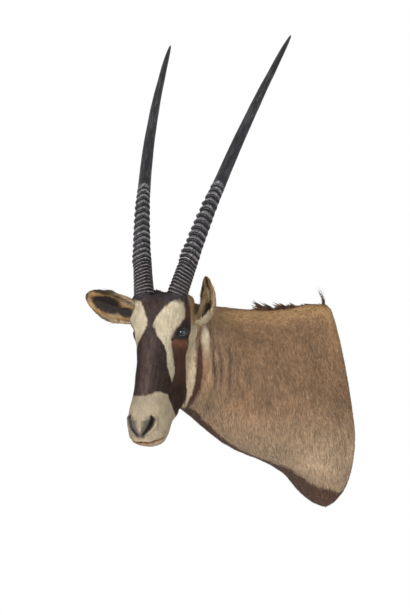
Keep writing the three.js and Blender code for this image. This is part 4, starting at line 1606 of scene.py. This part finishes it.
def strands(roots, directions, droops, lengths, width):
    """Thin tapered hairs, each in four runs: from a root, along its direction and then its droop."""
    runs = np.linspace(0, 1, 5)
    points, faces, along = [], [], []
    for root, direction, droop, long in zip(roots, directions, droops, lengths):
        centre = root + long * (runs[:, None] * direction + (runs**2)[:, None] * droop)
        aside = unit(np.cross(direction, droop + 1e-9))
        over = unit(np.cross(direction, aside))
        start = len(points)
        for place, share in zip(centre, runs):
            thick = width * (1 - 0.9 * share)
            back, rise = 0.5 * thick * aside, 0.87 * thick * over
            points += [place + thick * aside, place - back + rise, place - back - rise]
            along += [share] * 3
        faces += ring_faces(len(runs), 3, start)
    mesh = mesh_from("strands", points, faces)
    keep(mesh, "along", along)
    return mesh


def strand_coat(mesh, tones, rng):
    """Keeps for each strand what the hair material reads: its colour, root, shade and facing."""
    rows = len(mesh.vertices) // len(tones)
    keep(mesh, "coat", with_alpha(np.repeat(tones, rows, 0)))
    keep(mesh, "root", coordinates(mesh))
    keep(mesh, "shade", np.repeat(rng.uniform(0, 1, len(tones)), rows))
    keep(mesh, "skin_normal", normals(mesh))
    return mesh


# The hairs in each of the mane's locks, and the length of the hairs between them against the locks.
LOCK_HAIRS, UNDER_LOCKS = 34, 0.33


def make_locks(skin, settings, golden):
    """The mane's pointed locks: hairs whose roots spread along the crest and whose tips meet."""
    rng = np.random.default_rng(13)
    points, growth, reach = coordinates(skin), numbers(skin, "mane_growth"), numbers(skin, "mane_length")
    bend = np.array([0.0, -0.30, -0.12])
    roots, ways, lengths, tones = [], [], [], []
    for middle in rng.choice(len(points), settings.locks, p=growth / growth.sum()):
        long = settings.hair * reach[middle] * rng.uniform(0.5, 1.0)
        way = unit(np.array([0.0, -1.0, 0.42]) + 0.17 * rng.normal(size=3))
        spread = 0.0042 * rng.normal(size=(LOCK_HAIRS, 3)) * (0.5, 1.0, 0.0)
        root = points[middle] + spread - (0, 0, 0.002)
        share = rng.uniform(0.75, 1.05, (LOCK_HAIRS, 1))
        roots.append(root)
        ways.append(share * (points[middle] + long * way - root) / long - bend)
        lengths += [long] * LOCK_HAIRS
        tone = mixed([settings.tone], golden, np.array([rng.uniform(0, 0.55) ** 1.5]))
        tones.append(np.repeat(tone, LOCK_HAIRS, 0))
    bends = np.tile(bend, (len(lengths), 1))
    mesh = strands(np.concatenate(roots), np.concatenate(ways), bends, lengths, 0.00055)
    return strand_coat(mesh, np.concatenate(tones), rng)


def make_wisp(settings):
    """The tall wisp of hair that stands up where the mane ends by the board."""
    rng = np.random.default_rng(12)
    count, foot_height, longest, width = settings.wisp, 0.278, 0.058, 0.0005
    across, out = rng.uniform(-0.004, 0.006, count), rng.uniform(0.022, 0.029, count)
    roots = np.column_stack([across, -out, np.full(count, foot_height)])
    ways = unit(np.array([0.0, 0.06, 1.0]) + 0.05 * rng.normal(size=(count, 3)))
    bends = np.array([0.0, -0.42, -0.05]) * rng.uniform(0.5, 1.3, (count, 1))
    wisp = strands(roots, ways, bends, longest * rng.uniform(0.2, 1, count) ** 0.6, width)
    return strand_coat(wisp, np.tile(settings.tone, (count, 1)), rng)


def make_lashes(side, count):
    """Lashes on the upper lid, longest in the middle, which curve out and up."""
    rng = np.random.default_rng(70 + side)
    _, slit, rise, _ = eye_frames(side)
    half, corner, raised, width = 200, 10, 1.8, 0.00028
    upper = slice(corner, half - corner)
    roots, out = (rows[upper] for rows in lid_outline(side, 2 * half, raised))
    picks = np.sort(rng.uniform(0, half - 2 * corner, count)).astype(int)
    spread = picks / (half / 2 - corner) - 1
    strays = rng.normal(size=(count, 3))
    ways = unit(out[picks] * 0.9 - spread[:, None] * 0.4 * slit + 0.15 * strays) @ HEAD_AXES
    lengths = (7 + 6 * (1 - spread**2)) * rng.uniform(0.8, 1.1, count) * MM
    droops = np.tile(0.35 * rise, (count, 1)) @ HEAD_AXES
    return strands(from_head(roots[picks]), ways, droops, lengths, width)


# ---- Stage ----------------------------------------------------------------------------------------

CAMERA_PLACE = (3.699, -1.878, 0.2727)
CAMERA_AZIMUTH = math.radians(68)
LONG_SIDE_FOCAL = 1473.7 / 615
FLOOR_LEVEL, FLOOR_RADIUS = -0.95, 1.7
# Each light's place, size and tint. Its power is one of the stage's settings.
LIGHTS = {
    "key": ((2.5, -2.6, 1.75), 1.2, (1.0, 0.985, 0.965)),
    "fill": ((3.1, 0.8, 0.9), 2.6, (0.97, 0.985, 1.0)),
    "side": ((0.7, -3.0, 0.9), 1.6, (1.0, 0.99, 0.98)),
}
LIT_PLACE, FLOOR_MIDDLE = (0.05, -0.3, 0.15), (0, -0.3, FLOOR_LEVEL)


def aimed(place, target):
    """A transform at a place that looks at a target."""
    place, target = Vector(place), Vector(target)
    return Matrix.Translation(place) @ (target - place).to_track_quat("-Z", "Y").to_matrix().to_4x4()


def add_light(name, power):
    """One of the stage's lights, aimed at the middle of the mount."""
    place, size, tint = LIGHTS[name]
    data = bpy.data.lights.new(name, "AREA")
    data.shape, data.size, data.energy, data.color = "DISK", size, power, tint
    linked(name, data).matrix_world = aimed(place, LIT_PLACE)


def add_camera():
    """The camera, level and in front of the animal's left side."""
    data = bpy.data.cameras.new("camera")
    data.sensor_width = 36
    data.lens = data.sensor_width * LONG_SIDE_FOCAL
    data.clip_end = 50
    camera = linked("camera", data)
    look = Vector((-math.sin(CAMERA_AZIMUTH), math.cos(CAMERA_AZIMUTH), 0))
    camera.matrix_world = aimed(CAMERA_PLACE, Vector(CAMERA_PLACE) + look)
    bpy.context.scene.camera = camera


def add_room(brightness):
    """White surroundings: pure white to the eye, and softer as light on the mount."""
    world = bpy.data.worlds.new("white room")
    world.use_nodes = True
    tree = world.node_tree
    tree.nodes.clear()
    seen = wire(tree, "ShaderNodeBackground", {"Color": (1, 1, 1, 1), "Strength": 1.0})
    cast = wire(tree, "ShaderNodeBackground", {"Color": (1, 1, 1, 1), "Strength": brightness})
    straight = tree.nodes.new("ShaderNodeLightPath").outputs["Is Camera Ray"]
    both = wire(tree, "ShaderNodeMixShader", {0: straight, 1: cast.outputs[0], 2: seen.outputs[0]})
    wire(tree, "ShaderNodeOutputWorld", {0: both.outputs[0]})
    bpy.context.scene.world = world


def add_floor():
    """A round floor well below the mount."""
    mesh = bpy.data.meshes.new("floor")
    with editing(mesh) as work:
        bmesh.ops.create_circle(work, cap_ends=True, segments=96, radius=FLOOR_RADIUS)
        bmesh.ops.translate(work, vec=FLOOR_MIDDLE, verts=work.verts)
    mesh.materials.append(floor_material())
    linked("floor", mesh)


def finished_skin():
    """The hide's mesh, which the coat and the mane grow on."""
    hide = bpy.data.objects.get("hide")
    if hide is None:
        raise RuntimeError("the hide has to be made before its coat and mane")
    return hide.data


# ---- Operators ------------------------------------------------------------------------------------


class MOUNT_OT_stage(bpy.types.Operator):
    """Set up the floor, white room, lights and camera"""

    bl_idname = "mount.stage"
    bl_label = "Stage"

    def execute(self, context):
        settings = context.scene.mount_stage
        add_floor()
        add_room(settings.sky)
        for name in LIGHTS:
            add_light(name, getattr(settings, name))
        add_camera()
        context.scene.view_settings.view_transform = "Standard"
        return {"FINISHED"}


class MOUNT_OT_hide(bpy.types.Operator):
    """Make the hide over the head, neck and shoulders, with its markings"""

    bl_idname = "mount.hide"
    bl_label = "Hide"

    def execute(self, context):
        settings = context.scene.mount_hide
        mesh = make_skin(settings.cell)
        mark_skin(mesh, settings)
        add_piece("hide", mesh, skin_material("hide"), "hide", "cape")
        return {"FINISHED"}


class MOUNT_OT_coat(bpy.types.Operator):
    """Grow the short hair of the head, neck and shoulders"""

    bl_idname = "mount.coat"
    bl_label = "Coat"

    def execute(self, context):
        settings, skin = context.scene.mount_hide, finished_skin()
        face, neck = hair_material("face hair"), hair_material("neck hair")
        hairs, long = settings.face_growth, settings.face_hair
        grow_coat("face_coat", skin, "face_growth", hairs, long, "face", 1, face)
        hairs, long = settings.body_growth, settings.body_hair
        for seed, side in enumerate(SIDES, 2):
            grow_coat(f"{side}_neck_coat", skin, f"{side}_growth", hairs, long, "neck", seed, neck)
        return {"FINISHED"}


class MOUNT_OT_mane(bpy.types.Operator):
    """Grow the mane that stands along the crest and leans towards the head"""

    bl_idname = "mount.mane"
    bl_label = "Mane"

    def execute(self, context):
        settings, crest = context.scene.mount_mane, context.scene.mount_hide.crest
        skin = finished_skin().copy()
        points = coordinates(skin)
        lean = np.array([0.0, -1.0, 0.55]) + 0.25 * noise_vectors(points, 0.02, (43, 44, 45))
        keep(skin, "lay", unit(lean))
        golden = ramp(noise(points, 0.010, 46), 0.1, 0.6) * 0.5
        keep(skin, "coat", with_alpha(mixed(settings.tone, crest, golden)))
        keep(skin, "hair_length", numbers(skin, "mane_length"))
        material = hair_material("mane hair")
        long = settings.hair * UNDER_LOCKS
        grow_coat("mane", skin, "mane_growth", settings.growth, long, "mane", 9, material, "long hair")
        add_piece("mane_locks", make_locks(skin, settings, crest), material, "hide")
        add_piece("mane_wisp", make_wisp(settings), material, "hide")
        return {"FINISHED"}


class MOUNT_OT_horns(bpy.types.Operator):
    """Make the two ringed horns"""

    bl_idname = "mount.horns"
    bl_label = "Horns"

    def execute(self, context):
        settings = context.scene.mount_horns
        material = horn_material(settings)
        for name, side in SIDES.items():
            add_piece(f"{name}_horn_ringed", make_horn(side, settings), material, "horn", f"{name}_horn")
        return {"FINISHED"}


class MOUNT_OT_ears(bpy.types.Operator):
    """Make the two ears and the hair in and on them"""

    bl_idname = "mount.ears"
    bl_label = "Ears"

    def execute(self, context):
        settings = context.scene.mount_ears
        cream = np.array(context.scene.mount_hide.cream)
        hide, hair = skin_material("ear hide"), hair_material("ear hair")
        for seed, name in enumerate(EARS, 20):
            mesh, share, turn, within, lay = make_ear(name)
            colours = colour_ear(name, share, turn, within, settings, cream)
            mark_ear(mesh, colours, share, turn, within, lay)
            add_piece(f"{name}_ear_hide", mesh, hide, "hide", f"{name}_ear")
            grow_coat(
                f"{name}_ear_coat", mesh, "short_growth", EAR_HAIRS, EAR_HAIR_LENGTH, "ear", seed, hair
            )
            grow_coat(
                f"{name}_ear_lining", mesh, "long_growth", EAR_LINING_HAIRS, settings.hair, "ear lining",
                seed + 5, hair, "long hair",
            )
        return {"FINISHED"}


class MOUNT_OT_eyes(bpy.types.Operator):
    """Make the glass eyes, their lid rims and lashes"""

    bl_idname = "mount.eyes"
    bl_label = "Eyes"

    def execute(self, context):
        settings = context.scene.mount_eyes
        glass, rim, lash = eye_material(settings), rim_material(settings), lash_material()
        for name, side in SIDES.items():
            add_piece(f"{name}_glass_eye", make_eyeball(side), glass, "eye", f"{name}_eye")
            add_piece(f"{name}_lid_rim", make_lid_rim(side), rim, "hide")
            add_piece(f"{name}_lashes", make_lashes(side, settings.lashes), lash, "hide")
        return {"FINISHED"}


class MOUNT_OT_back(bpy.types.Operator):
    """Finish the back board as plywood and the hanger as plated steel"""

    bl_idname = "mount.back"
    bl_label = "Back Board"

    def execute(self, context):
        steel = steel_material()
        finishes = {
            "back_board": board_material(),
            "hanger_plate": steel,
            "hanger_screw_right": steel,
            "hanger_screw_left": steel,
        }
        for name, material in finishes.items():
            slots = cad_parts[name].data.materials
            slots.clear()
            slots.append(material)
        return {"FINISHED"}


class MOUNT_PT_maker(bpy.types.Panel):
    """The mount's settings and the steps that make it"""

    bl_label = "Gemsbok Mount"
    bl_space_type = "VIEW_3D"
    bl_region_type = "UI"
    bl_category = "Mount"

    def draw(self, context):
        scene = context.scene
        for label, group, steps in PANEL_ROWS:
            box = self.layout.box()
            box.label(text=label)
            if group:
                settings = getattr(scene, group)
                for key in settings.__annotations__:
                    box.prop(settings, key)
            for step in steps:
                box.operator(step)


PANEL_ROWS = (
    ("Stage", "mount_stage", ("mount.stage",)),
    ("Hide and Coat", "mount_hide", ("mount.hide", "mount.coat")),
    ("Mane", "mount_mane", ("mount.mane",)),
    ("Horns", "mount_horns", ("mount.horns",)),
    ("Ears", "mount_ears", ("mount.ears",)),
    ("Eyes", "mount_eyes", ("mount.eyes",)),
    ("Back", None, ("mount.back",)),
)
SETTINGS = {
    "mount_hide": MOUNT_PG_hide,
    "mount_mane": MOUNT_PG_mane,
    "mount_horns": MOUNT_PG_horns,
    "mount_ears": MOUNT_PG_ears,
    "mount_eyes": MOUNT_PG_eyes,
    "mount_stage": MOUNT_PG_stage,
}
OPERATORS = (
    MOUNT_OT_stage, MOUNT_OT_hide, MOUNT_OT_coat, MOUNT_OT_mane, MOUNT_OT_horns, MOUNT_OT_ears,
    MOUNT_OT_eyes, MOUNT_OT_back,
)


def register():
    for kind in (*SETTINGS.values(), *OPERATORS, MOUNT_PT_maker):
        bpy.utils.register_class(kind)
    for name, kind in SETTINGS.items():
        setattr(bpy.types.Scene, name, PointerProperty(type=kind))


def unregister():
    for name in SETTINGS:
        delattr(bpy.types.Scene, name)
    for kind in reversed((*SETTINGS.values(), *OPERATORS, MOUNT_PT_maker)):
        bpy.utils.unregister_class(kind)


def main():
    register()
    bpy.ops.mount.stage()
    bpy.ops.mount.hide()
    bpy.ops.mount.horns()
    bpy.ops.mount.ears()
    bpy.ops.mount.eyes()
    bpy.ops.mount.back()
    bpy.ops.mount.coat()
    bpy.ops.mount.mane()


if __name__ == "__main__":
    main()
